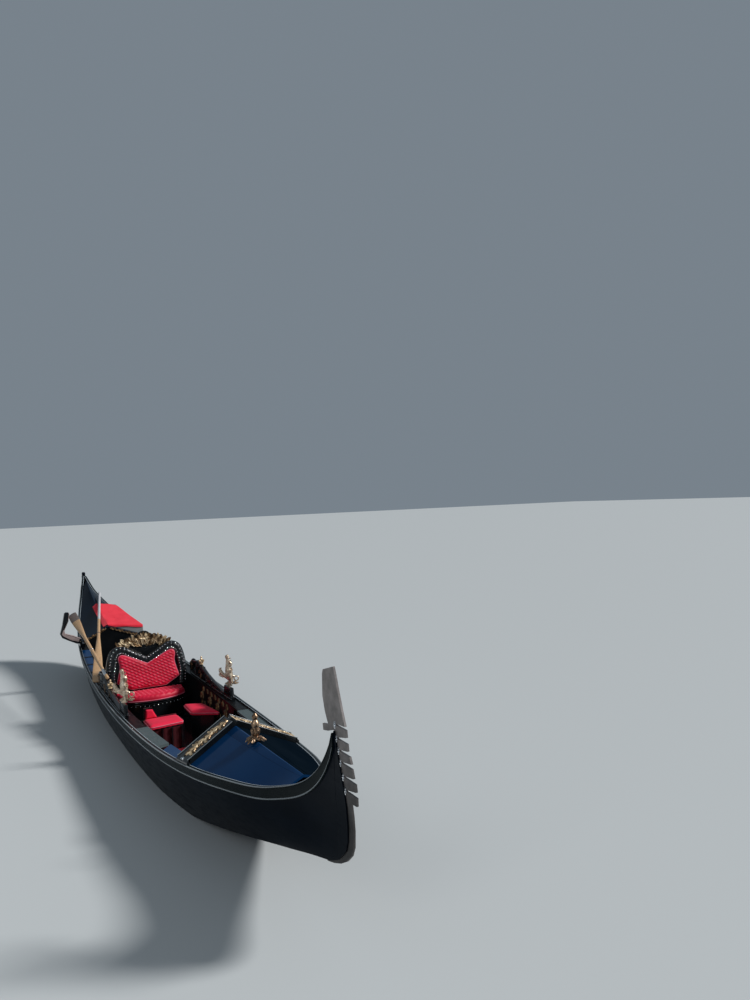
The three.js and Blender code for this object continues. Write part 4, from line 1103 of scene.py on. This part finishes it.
def add_border_carving(name, sign, place, length):
    """A waving stem with a scroll and two sprays of leaves in each bend."""
    wide = BORDER["fore"] - BORDER["aft"]
    field = lambda u, v, out: place(u / length, v / wide, BORDER["high"] - 0.004 + out)
    waves = 5 if sign < 0 else 6
    start, end = 0.05 * length, 0.86 * length
    wave = lambda t: (lerp(start, end, t), wide / 2 + STEM_WAVE * math.sin(t * waves * math.pi))
    gold = Build()
    carve(gold, [np.array(wave(t)) for t in np.linspace(0, 1, 60)], lambda t: 0.006, lambda t: 0.007, field)
    for k in range(waves):
        up = 1 if k % 2 == 0 else -1
        x = lerp(start, end, (k + 0.5) / waves) - 0.036
        scroll_with_leaves(gold, (x, wide / 2 + 0.020 * up), -0.5 * up, 0.080, up, field, 0.009, leaves=3)
        for j in range(4):
            low = (x + 0.020 * j, wide / 2 - 0.010 * up)
            high = (x + 0.022 * j - 0.01, wide / 2 + 0.016 * up)
            # Dark gilding on the low leaves and on every other high one: painted shade in the gaps between
            # leaves
            leaf(gold, low, -up * (1.8 - 0.5 * j), 0.060, up * 0.9, field, 0.006, 0.16, tag=1)
            leaf(gold, high, up * (0.4 + 0.5 * j), 0.056, -up * 0.8, field, 0.010, 0.16, tag=j % 2)
    gold.piece(f"border_carving_{name}", ("gilt", "gilt_dark"), "gilt", smooth=50.0)


# Arm rails, by the height of their top along x, with a pedestal for the seahorse
RAIL_TOP = [(-0.800, 0.690), (-0.790, 0.735), (-0.700, 0.775), (-0.450, 0.808), (-0.200, 0.762),
            (0.000, 0.715), (0.280, 0.674), (0.540, 0.645), (0.700, 0.632), (0.716, 0.726), (0.930, 0.726),
            (0.942, 0.640), (1.000, 0.620)]
RAIL_INSET = {"starboard": 0.042, "port": 0.070}
RAIL_THICK = 0.046
RAIL_AFT, RAIL_FORE = -0.792, 0.996
RAIL_ROLL = 0.0225
RAIL_BEAD = {"pitch": 0.024, "below": 0.030, "radius": 0.0085, "high": 0.0065}
RAIL_SCROLLS = {"count": 12, "first": -0.74, "pitch": 0.125, "largest": 0.095, "least": 0.022}


def rail_top(x):
    return float(np.interp(x, [p[0] for p in RAIL_TOP], [p[1] for p in RAIL_TOP]))


def rail_y(name, sign):
    return sign * (section(0.150).half[sign] - RAIL_INSET[name] - RAIL_THICK / 2)


# The seahorse's limbs, each as points of a line in its own plane with the radius there
SEAHORSE = {"x": 0.822, "turn": math.radians(61), "wide": 1.2, "ripple": 0.05}
SEAHORSE_BODY = [(0.020, 0.024, 0.018), (0.022, 0.060, 0.024), (0.014, 0.105, 0.033), (0.006, 0.150, 0.034),
                 (0.001, 0.195, 0.028), (0.0, 0.235, 0.022), (0.0, 0.275, 0.018), (-0.001, 0.305, 0.016),
                 (-0.004, 0.328, 0.019), (-0.008, 0.344, 0.019), (-0.012, 0.353, 0.012)]
SEAHORSE_TAIL = [(0.006, 0.085, 0.024), (-0.022, 0.112, 0.023), (-0.050, 0.134, 0.021),
                 (-0.068, 0.160, 0.018), (-0.078, 0.184, 0.014), (-0.072, 0.200, 0.009)]
SEAHORSE_CURL = [(-0.040, 0.125, 0.014), (-0.066, 0.118, 0.012), (-0.082, 0.132, 0.010),
                 (-0.078, 0.150, 0.008)]
SEAHORSE_FIN = [(0.006, 0.290, 0.006), (0.022, 0.272, 0.010), (0.034, 0.248, 0.009), (0.028, 0.228, 0.006)]
SEAHORSE_ARM = [(0.020, 0.125, 0.014), (0.045, 0.112, 0.012), (0.058, 0.096, 0.009)]
SEAHORSE_RING = {"middle": (0.076, 0.084), "half": (0.021, 0.026), "radius": 0.0075, "sides": 17}
SEAHORSE_BASE = ((0.017, 0.0, 0.012), (0.013, 0.010, 0.030))


def add_seahorse(name, sign):
    x, y = SEAHORSE["x"], rail_y(name, sign)
    foot = rail_top(x) + GAP
    c, t, wide = math.cos(SEAHORSE["turn"]), math.sin(SEAHORSE["turn"]), SEAHORSE["wide"]
    at = lambda u, v, out=0.0: Vector((x + u * wide * c - out * t, y + u * wide * t + out * c, foot + v))
    across = Vector((-t, c, 0))
    build = Build()

    def limb(points, sides=12, out=0.0, flat=1.0):
        line = curve_through(points, 5)
        radii = [float(p[2]) * (1 + SEAHORSE["ripple"] * math.cos(i * 1.7)) for i, p in enumerate(line)]
        build.tube([at(p[0], p[1], out) for p in line], radii, sides, flat=flat, across=across)

    limb(SEAHORSE_BODY, 14, flat=1.15)
    limb(SEAHORSE_TAIL)
    limb(SEAHORSE_CURL, 10)
    for out in (-0.012, 0.012):
        limb(SEAHORSE_FIN, 8, out)
        build.dome(at(-0.010, 0.340, out * 1.4), across * math.copysign(1, out), 0.004, 0.003)
    (u, v), (half_u, half_v) = SEAHORSE_RING["middle"], SEAHORSE_RING["half"]
    ring = [at(u + half_u * math.cos(a), v + half_v * math.sin(a)) for a in around(SEAHORSE_RING["sides"])]
    build.tube(ring, SEAHORSE_RING["radius"], 8, closed=True, across=across)
    limb(SEAHORSE_ARM, 8)
    for side in (1, -1):
        face = lambda u, v, out: at(u, v, side * (0.004 + out))
        chest = lambda u, v, out: at(u, v, side * (0.030 + out))
        for k in range(8):
            spot = (0.026 - 0.012 * k / 7, lerp(0.10, 0.31, k / 7))
            leaf(build, spot, 0.9 - 0.1 * k, 0.034 - 0.002 * k, 0.9, face, 0.007, 0.3)
        for k in range(6):
            spot = (-0.020 - 0.012 * k, 0.105 + 0.014 * k)
            leaf(build, spot, math.pi * (0.95 - 0.1 * k), 0.040, 0.9 * (-1) ** k, face, 0.008, 0.3)
        for k in range(5):
            bend = 0.7 * (1 if k < 3 else -1)
            leaf(build, (0.008 + 0.012 * k, 0.020), math.pi * (0.85 - 0.17 * k), 0.044, bend, face, 0.014,
                 0.3)
        for k in range(3):
            leaf(build, (0.010, 0.110 + 0.018 * k), math.pi * (0.7 - 0.2 * k), 0.052, 0.6, chest, 0.006, 0.3)
    for half, low, high in SEAHORSE_BASE:
        base = rounded(box_corners((-half, half + 0.020), (-half, half)), 0.010)
        build.rings([[at(p[0], z, p[1]) for p in base] for z in (low, high)])
    build.piece(f"seahorse_figure_{name}", "brass", "brass", [f"seahorse_{name}"], smooth=60.0)


# Turned finial: radius and height from its foot up
FINIAL = [(0.0005, 0), (0.046, 0), (0.050, 0.006), (0.050, 0.014), (0.040, 0.020), (0.026, 0.026),
          (0.021, 0.034), (0.023, 0.050), (0.030, 0.066), (0.024, 0.078), (0.022, 0.090), (0.028, 0.106),
          (0.033, 0.124), (0.031, 0.138), (0.020, 0.152), (0.0165, 0.160), (0.022, 0.170), (0.025, 0.182),
          (0.021, 0.193), (0.013, 0.202), (0.0105, 0.207), (0.006, 0.212), (0.0005, 0.214)]
RIDGE_FINIAL_X = 3.620
RAIL_KNOB_X = {"starboard": 0.020, "port": -0.280}
RAIL_KNOB_SIZE = 0.50


def outwards(count):
    """Directions out from an upright axis and along its rim, all round it."""
    return [(Vector((math.cos(a), math.sin(a), 0)), Vector((-math.sin(a), math.cos(a), 0)))
            for a in around(count)]


def add_finials():
    x = RIDGE_FINIAL_X
    ridge = Build()
    foot = Vector((x, 0, ridge_height(x, FORE_DECK) + 0.0008))
    ridge.lathe(foot, FINIAL)
    for k, (out, side) in enumerate(outwards(10)):
        drop = abs(out.y) * 0.5
        rise = lambda u, w: UP * (0.022 + w - u * drop + 0.25 * u * (1 - u / 0.05))
        spread = lambda u, v, w: foot + out * (0.020 + u) + side * v + rise(u, w)
        leaf(ridge, (0, 0), 0, 0.062, 0.25 * (-1) ** k, spread, 0.010, 0.3)
        upright = lambda u, v, w: foot + out * (0.021 + w + 0.1 * u) + side * v + UP * (0.034 + u)
        leaf(ridge, (0, 0), 0, 0.055, 0.0, upright, 0.010, 0.3)
    ridge.piece("ridge_finial", "bronze", "brass", ["ridge_figure"], smooth=50.0)
    for name, sign in SIDES:
        knob = Build()
        x = RAIL_KNOB_X[name]
        foot = Vector((x, rail_y(name, sign), rail_top(x - 0.021) + GAP))
        knob.lathe(foot, [(r * RAIL_KNOB_SIZE + 0.0002, z * RAIL_KNOB_SIZE) for r, z in FINIAL], 16)
        for out, side in outwards(6):
            upright = lambda u, v, w: foot + out * (0.010 + w + 0.35 * u) + side * v + UP * (0.012 + u)
            leaf(knob, (0, 0), 0, 0.048, 0.0, upright, 0.012, 0.42)
        knob.piece(f"rail_knob_{name}", "gilt", "gilt", [f"rail_finial_{name}"], smooth=50.0)


def add_rails():
    """Arm rails: a carved band with a rounded top, beads, deep scrolls, an aft scroll and a foot."""
    half = 0.36 * RAIL_THICK
    points = even_points([np.array(p) for p in RAIL_TOP], 0.015)
    top = [p for p in points if RAIL_AFT <= p[0] <= RAIL_FORE]
    band = [p for p in top if p[0] < 0.70]
    foot = lambda x: section(x).top + GAP
    for name, sign in SIDES:
        y = rail_y(name, sign)
        rail, gold = Build(), Build()
        rings = []
        for x, z in top:
            low = foot(x) + 0.0005
            corners = box_corners((y - half, y + half), (low, max(z - 0.012, low + 0.003)))
            rings.append([Vector((x, *corner)) for corner in corners])
        rail.rings(rings)
        rail.tube([Vector((x, y, z - 0.0125)) for x, z in top], RAIL_ROLL, 12, flat=0.5)
        rail.tube([Vector((x, y, foot(x) + 0.008)) for x, _ in top if x > -0.74], RAIL_ROLL, 10, flat=0.34)
        for face in (1, -1):
            place = lambda u, v, out: Vector((u, y + face * (half + out), v))
            for x, z in even_points(band, RAIL_BEAD["pitch"])[1:-1]:
                spot = place(x, z - RAIL_BEAD["below"], 0.001)
                rail.dome(spot, Vector((0, face, 0)), RAIL_BEAD["radius"], RAIL_BEAD["high"], sides=7)
            for k in range(RAIL_SCROLLS["count"]):
                x = RAIL_SCROLLS["first"] + RAIL_SCROLLS["pitch"] * k
                low, high = foot(x) + 0.018, rail_top(x) - 0.038
                size = min(RAIL_SCROLLS["largest"], (high - low) * 0.85)
                if size > RAIL_SCROLLS["least"]:
                    # Every third scroll is dark gilding: a painted reflection of the brown glints on the
                    # black carving
                    work = rail if k % 3 else gold
                    start, hand = (x, low + 0.3 * (high - low)), -1 if k % 2 else 1
                    scroll_with_leaves(work, start, 0.6, size, hand, place, 0.0065, leaves=4)
        scroll = spiral((-0.62, 0.775), math.pi * 0.97, 0.105, 1, 1.25)
        radii = [lerp(RAIL_ROLL, 0.010, t) for t in np.linspace(0, 1, len(scroll))]
        rail.tube([Vector((p[0], y, p[1])) for p in scroll], radii, 10)
        rail.piece(f"rail_{name}", "trim", "black", [f"arm_rail_{name}"], smooth=45.0)
        gold.piece(f"rail_carving_painted_reflection_{name}", "gilt_dark", "gilt", smooth=50.0)


# The lining's foot and head: height or depth under the side deck, and how far in from the planks
LINING = {"foot": 0.1583, "foot_in": 0.0208, "head_under": 0.0223, "head_in": 0.116, "first": -0.10,
          "pitch": 0.17}


def add_lining():
    """Gilded leaves on the inner faces of the panels beside the seats."""
    for name, sign in SIDES:

        def place(u, v, out):
            s = section(u)
            foot_share = (LINING["foot"] - s.bottom) / (s.top - s.bottom)
            foot = abs(side_point(s, sign, foot_share, PLANK).y) - LINING["foot_in"]
            head = abs(side_point(s, sign, 1.0, PLANK).y) - LINING["head_in"]
            t = (v - LINING["foot"]) / (s.top - LINING["head_under"] - LINING["foot"])
            return Vector((u, sign * (lerp(foot, head, t) - out - 0.0008), v))

        gold = Build()
        for k in range(7):
            u = LINING["first"] + LINING["pitch"] * k
            hand = 1 if k % 2 == 0 else -1
            scroll_with_leaves(gold, (u, 0.30 + 0.10 * (k % 2)), 0.9 * hand, 0.15, hand, place, 0.009,
                               leaves=6)
            for j in range(4):
                lean = 0.5 * (j - 1.5)
                leaf(gold, (u + 0.03 * j, 0.50), math.pi / 2 + lean, 0.07, 0.6, place, 0.009)
                leaf(gold, (u + 0.035 * j, 0.26), -math.pi / 2 + lean, 0.06, 0.6, place, 0.009)
        gold.piece(f"lining_carving_{name}", "gilt_dark", "gilt", smooth=50.0)


SIDE_PANEL = {"x": (-2.74, -1.10), "wide": 0.120, "margin": 0.006, "high": 0.0040, "pitch": 0.41}
BATTEN = ((-0.018, 0.008), (-0.014, 0.011), (0.014, 0.011), (0.018, 0.008))


def add_side_panel():
    """Lacquered panel on the starboard side deck aft of the couch, painted blue as the sky's reflection, with
    black cross battens.
    """
    def across(x, high, margin):
        s = section(x)
        outer = abs(side_point(s, -1, 1, PLANK).y) - 0.004 - margin
        inner = outer - SIDE_PANEL["wide"] + 2 * margin
        return [Vector((x, *p)) for p in box_corners((-outer, -inner), (s.top + GAP, s.top + high))]

    rings = [across(x, SIDE_PANEL["high"], SIDE_PANEL["margin"]) for x in stations(*SIDE_PANEL["x"])]
    loft("side_panel", rings, "deck", "deck")
    battens = Build()
    for x in stations(*SIDE_PANEL["x"], SIDE_PANEL["pitch"]):
        battens.rings([across(x + shift, high, 0.0) for shift, high in BATTEN])
    battens.piece("side_panel_battens", "trim", "black")


# The run of leaves on the aft deck's inner edge: its face, and how far under the deck's top it lies
AFT_CARVING = {"x": -3.0795, "under": 0.036, "count": 9}


def add_aft_carving():
    x = AFT_CARVING["x"]
    gold = Build()
    for _, sign in SIDES:
        edge = cap_inner(section(x), sign) - 0.05
        height = lambda u: deck_top(x, sign * u, AFT_DECK) - AFT_CARVING["under"]
        place = lambda u, v, out: Vector((x + out, sign * u, height(u) + v))
        for k in range(AFT_CARVING["count"]):
            u = lerp(0.03, edge, k / AFT_CARVING["count"])
            leaf(gold, (u, 0.008), 0.5 + 0.5 * (k % 2), 0.052, -0.8, place, 0.006, 0.26)
            leaf(gold, (u + 0.02, 0.016), -0.4, 0.046, 0.9, place, 0.007, 0.26)
    gold.piece("aft_carving", "gilt_dark", "gilt", smooth=50.0)


# The bow iron's slits end in small bright leaves: their places in x and z
SLITS = [(5.100, 1.441), (5.111, 1.362), (5.136, 1.294), (5.156, 1.228), (5.184, 1.151), (5.208, 1.075)]
IRON_HALF = 0.007


def add_iron_leaves():
    build = Build()
    for x, z in SLITS:
        for face in (1, -1):
            place = lambda u, v, out: Vector((x + u, face * (IRON_HALF + out), z + v))
            for turn in (0.5, -0.15, -0.8):
                leaf(build, (-0.030, 0.0), turn, 0.036, -0.3, place, 0.004, 0.24)
    build.piece("iron_leaves", "steel", "iron", smooth=50.0)


# The rowlock's outline in y and z, from the foot of its outer side round the horn to the inner foot
ROWLOCK = [(-0.482, 0.8065), (-0.600, 0.866), (-0.685, 0.916), (-0.712, 0.973), (-0.678, 1.096),
           (-0.646, 1.272), (-0.622, 1.290), (-0.584, 1.284), (-0.573, 1.265), (-0.592, 1.153),
           (-0.657, 1.009), (-0.638, 0.974), (-0.528, 0.932), (-0.422, 0.879), (-0.408, 0.8065)]
ROWLOCK_X, ROWLOCK_HALF, ROWLOCK_FOOT = -2.900, 0.034, 0.8065
# Its arrises: the share of its half thickness, and how far the outline draws in there
ROWLOCK_ARRIS = ((-1, 0.007), (-0.93, 0.002), (-0.8, 0), (0.8, 0), (0.93, 0.002), (1, 0.007))
# The outline's strips of bare wood, and the worn patch on the fore face
BARE_STRIPS = range(7, 13)
WORN_FACE = [(-0.668, 0.940), (-0.693, 0.972), (-0.668, 1.040), (-0.650, 1.010), (-0.652, 0.985),
             (-0.630, 0.958), (-0.528, 0.918), (-0.440, 0.872), (-0.450, 0.830), (-0.560, 0.868)]


def add_rowlock():
    """Angular crook with rounded arrises, dark outside and bare wood where oars bear on it."""
    line = [np.array(p) for p in ROWLOCK]
    inward = []
    for i, p in enumerate(line):
        before, after = line[i - 1], line[(i + 1) % len(line)]
        a, b = ((q / np.linalg.norm(q)) for q in (p - before, after - p))
        normal = np.array((a[1] + b[1], -a[0] - b[0]))
        inward.append(normal / max(np.linalg.norm(normal) ** 2 / 2, 0.5))
    rings = []
    for share, inset in ROWLOCK_ARRIS:
        shape = [p + n * inset for p, n in zip(line, inward)]
        rings.append([Vector((ROWLOCK_X + share * ROWLOCK_HALF, q[0], max(q[1], ROWLOCK_FOOT)))
                      for q in shape])
    middle = np.mean(WORN_FACE, axis=0)
    worn = [p + (middle - p) * 0.04 for p in map(np.array, WORN_FACE)]
    face = [[Vector((ROWLOCK_X + ROWLOCK_HALF + out, *p)) for p in worn] for out in (-0.003, 0.0008)]
    loft("rowlock_worn_face", face, "crook_wood", "oak", smooth=40.0)
    crook = Build()
    crook.rings(rings, tag=1, strips=[0 if i in BARE_STRIPS else 1 for i in range(len(line))])
    crook.piece("rowlock_crook", ("crook_wood", "trim"), "oak", ["rowlock"], smooth=30.0)


# flat: the blade's direction. worn: the blade's worn share. pale: the share from which the shaft is bleached.
# rings: each metal ring's share of the length, half its length, and its radius
OARS = (
    {"name": "short", "tip": (-3.010, -0.5252, 1.240), "grip": (-0.221, -0.480, 0.790),
     "flat": (0, 0.868, 0.495), "ends": "steel", "worn": 0.14, "pale": 2,
     "rings": ((0.62, 0.012, 0.0235), (0.93, 0.10, 0.0198))},
    {"name": "long", "tip": (-0.880, -0.500, 0.6208), "grip": (-4.780, 0.150, 1.3423), "flat": (0, 1, 0),
     "ends": "iron", "worn": 0, "pale": 0.62, "rings": ((0.46, 0.014, 0.0238),)},
)
# An oar's section: share of its length from the blade's tip, half width and half depth
OAR_SECTIONS = [(0, 0.040, 0.006), (0.004, 0.054, 0.007), (0.012, 0.062, 0.008), (0.1, 0.063, 0.0088),
                (0.2, 0.054, 0.012), (0.3, 0.040, 0.0155), (0.36, 0.031, 0.0195), (0.42, 0.0228, 0.0222),
                (0.7, 0.0218, 0.0215), (0.97, 0.0182, 0.0178), (0.985, 0.021, 0.021), (0.997, 0.019, 0.019),
                (1, 0.012, 0.012)]
OAR_SIDES = 20


def add_oars():
    marks = [row[0] for row in OAR_SECTIONS]
    shares = sorted(set(marks + list(np.linspace(0.02, 0.96, 40))))
    for oar in OARS:
        tip, grip, flat = (Vector(oar[k]) for k in ("tip", "grip", "flat"))
        axis = (grip - tip).normalized()
        across = (flat - axis * flat.dot(axis)).normalized()
        up = axis.cross(across)
        build = Build()
        rings = []
        for share in shares:
            wide, deep = (float(np.interp(share, marks, [row[k] for row in OAR_SECTIONS])) for k in (1, 2))
            middle = tip.lerp(grip, share)
            turns = around(OAR_SIDES)
            rings.append([middle + across * wide * math.cos(a) + up * deep * math.sin(a) for a in turns])
        build.rings(rings)
        worn_to = sum(share < oar["worn"] for share in shares)
        pale_from = sum(share < oar["pale"] for share in shares)
        for i in range(len(build.faces) - 2):
            ring = i // OAR_SIDES
            build.tags[i] = 2 if ring < worn_to else 3 if ring >= pale_from else 0
        length = (grip - tip).length
        for share, half, radius in oar["rings"]:
            ends = [tip.lerp(grip, share + d * half / length) for d in (-1, -0.8, 0.8, 1)]
            build.tube(ends, [radius * 0.9, radius, radius, radius * 0.9], 16, tag=1, across=across)
        finishes = ("oak", oar["ends"], "worn_oak", "pale_grey")
        build.piece(f"oar_{oar['name']}_shaped", finishes, "oak", [f"oar_{oar['name']}"], smooth=50.0)


WELL_CARPET = {"aft": 0.962, "fore": 2.878, "height": 0.158, "over_bottom": 0.062, "margin": 0.040,
               "thick": 0.0075}
PLATFORM_CARPET = {"aft": -4.226, "margin": 0.036, "corner": 0.10, "thick": 0.008, "slope": 0.12}
# Its starboard border on the deck, by y, and how far its fore edge hangs at each row of points
CARPET_BORDER = (-0.055, -0.042, -0.028, -0.014)
CARPET_FALLS = (0.0, 0.006, 0.02, 0.036)
CARPET_PITCH = 0.03
LIFT = 0.0004


def add_well_carpet():
    """Red carpet on the floor boards, darkened as painted shade, as wide as the hull lets it be."""
    rings = []
    for x in stations(WELL_CARPET["aft"], WELL_CARPET["fore"], CARPET_PITCH):
        s = section(x)
        base = max(WELL_CARPET["height"], s.bottom + WELL_CARPET["over_bottom"])
        share = (base - s.bottom) / (s.top - s.bottom)
        right, left = (k * (abs(side_point(s, k, share, PLANK).y) - WELL_CARPET["margin"]) for k in (-1, 1))
        row = [lerp(right, left, k / 24) for k in range(25)]
        wave = lambda y: 0.0012 * math.sin(9 * x + 5 * y) + 0.0008 * math.sin(23 * y - 7 * x)
        top = lambda y: WELL_CARPET["thick"] + wave(y)
        lower = [Vector((x, y, base + GAP)) for y in row]
        rings.append(lower + [Vector((x, y, base + top(y))) for y in row[::-1]])
    made = loft("well_carpet", rings, "dark_carpet", "red", ["floor_carpet"], smooth=60.0)


def add_platform_carpet():
    """Red carpet on the rower's platform, over the deck's ridge, with its fore edge hanging."""
    aft, corner = PLATFORM_CARPET["aft"], PLATFORM_CARPET["corner"]
    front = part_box("standing_platform")[1][0] + LIFT
    places = [(x, 0.0) for x in stations(aft, front - 0.002, CARPET_PITCH)]
    places += [(front, fall) for fall in CARPET_FALLS]
    rings = []
    for x, fall in places:
        ridge = ridge_height(x, AFT_DECK)
        rounding = max(0.0, 1 - (x - aft) / corner)
        edge = section(x).half[1] - PLATFORM_CARPET["margin"] - corner * (1 - math.sqrt(1 - rounding**2))
        row = [(y, deck_top(x, y, AFT_DECK) + LIFT) for y in CARPET_BORDER]
        row += [(0.004, ridge + 0.0030), (0.012, ridge + 0.0062)]
        for share in np.linspace(0, 1, 15):
            row.append((lerp(0.016, edge - 0.002, share),
                        ridge + 0.0064 - PLATFORM_CARPET["slope"] * edge * share))
        lower, upper = [], []
        for k, (y, z) in enumerate(row):
            thick = PLATFORM_CARPET["thick"] + 0.0012 * math.sin(11 * x + k)
            room = max(0.0, z - deck_top(x, y, AFT_DECK) - 0.002)
            drop = min(fall * (0.85 + 0.15 * math.sin(17 * y)), room)
            out = thick * min(1.0, drop / CARPET_FALLS[1])
            lower.append(Vector((x, y, z + LIFT - drop)))
            upper.append(Vector((x + out, y, z + LIFT - drop + math.sqrt(max(0.0, thick**2 - out**2)))))
        rings.append(lower + upper[::-1])
    made = loft("standing_carpet", rings, "carpet", "carpet", ["platform_carpet"], smooth=60.0)


# Materials of the CAD nodes that stay in sight
FINISHES = {
    "hull": "stem sternpost",
    "iron": "bow_iron stern_iron",
    "inside": "fore_bulkhead aft_bulkhead side_deck_starboard side_deck_port floor_boards lining_starboard "
              "lining_port aft_thwart",
    "grey": "standing_platform",
    "weathered": "side_board_aft_starboard side_board_aft_port side_board_fore_starboard "
                 "side_board_fore_port",
    "brown": "breasthook",
    # The corner boards have the deck's blue, a painted reflection of the sky
    "deck": "corner_board_starboard corner_board_port",
    "oak": "floor_timbers",
    "trim": "couch_base couch_rear_board chair_starboard chair_port chair_starboard_back rowlock_block",
}
# Rounded arrises of some of them, by width in metres
BEVELS = {
    0.0025: "bow_iron",
    0.003: "stem couch_rear_board breasthook aft_thwart",
    0.004: "sternpost standing_platform couch_base chair_starboard chair_port chair_starboard_back "
           "rowlock_block",
}


def dress_nodes():
    for key, nodes in FINISHES.items():
        for node in nodes.split():
            obj = NODES[node]
            if not obj.data.materials:
                obj.data.materials.append(None)
            for material_slot in obj.material_slots:
                material_slot.link = "OBJECT"
                material_slot.material = MATERIALS[key]
    for width, nodes in BEVELS.items():
        for node in nodes.split():
            modifier = NODES[node].modifiers.new("arris", "BEVEL")
            modifier.width = width
            modifier.segments = 2
            modifier.limit_method = "ANGLE"
            modifier.angle_limit = math.radians(40)


dress_nodes()
add_hull()
add_bands()
add_decks()
add_couch_back()
add_couch_seat()
add_chairs()
add_chair_front()
add_crest()
add_borders()
for side_name, side_sign in SIDES:
    add_seahorse(side_name, side_sign)
add_finials()
add_rails()
add_lining()
add_rowlock()
add_side_panel()
add_aft_carving()
add_iron_leaves()
add_oars()
add_well_carpet()
add_platform_carpet()

# Studio: the floor lies at the waterline, in sky light, a low sun from port and a soft fill from starboard
WATERLINE = 0.11
FLOOR_HALF = 150
FLOOR_TONE = (0.50, 0.52, 0.52)
SKY_TONE, SKY_STRENGTH = (0.72, 0.86, 1.0), 0.26
SUN = {"energy": 3.4, "angle": 0.2, "place": (9.0, 18.0, 16.0)}
FILL = {"energy": 160.0, "size": 5.0, "place": (9.0, -9.0, 7.0)}
LIT_POINT = (0.5, 0, 0.5)


def add_lamp(name, kind, place, **settings):
    data = bpy.data.lights.new(name, kind)
    for key, value in settings.items():
        setattr(data, key, value)
    lamp = bpy.data.objects.new(name, data)
    turn = (Vector(LIT_POINT) - Vector(place)).to_track_quat("-Z", "Y").to_matrix().to_4x4()
    lamp.matrix_world = Matrix.Translation(place) @ turn
    bpy.context.scene.collection.objects.link(lamp)


def add_studio():
    corners = box_corners((-FLOOR_HALF, FLOOR_HALF), (-FLOOR_HALF, FLOOR_HALF))
    mesh = bpy.data.meshes.new("floor")
    mesh.from_pydata([(x, y, WATERLINE) for x, y in corners], [], [(0, 1, 2, 3)])
    floor = bpy.data.objects.new("floor", mesh)
    bpy.context.scene.collection.objects.link(floor)
    pale = Shader("pale_floor", Roughness=0.85)
    pale.colour(rgba(*FLOOR_TONE))
    mesh.materials.append(pale.material)
    world = bpy.data.worlds.new("studio")
    world.use_nodes = True
    sky = world.node_tree.nodes["Background"]
    sky.inputs[0].default_value = rgba(*SKY_TONE)
    sky.inputs[1].default_value = SKY_STRENGTH
    bpy.context.scene.world = world
    bpy.context.scene.view_settings.view_transform = "Standard"
    add_lamp("key", "SUN", **SUN)
    add_lamp("fill", "AREA", **FILL)


add_studio()
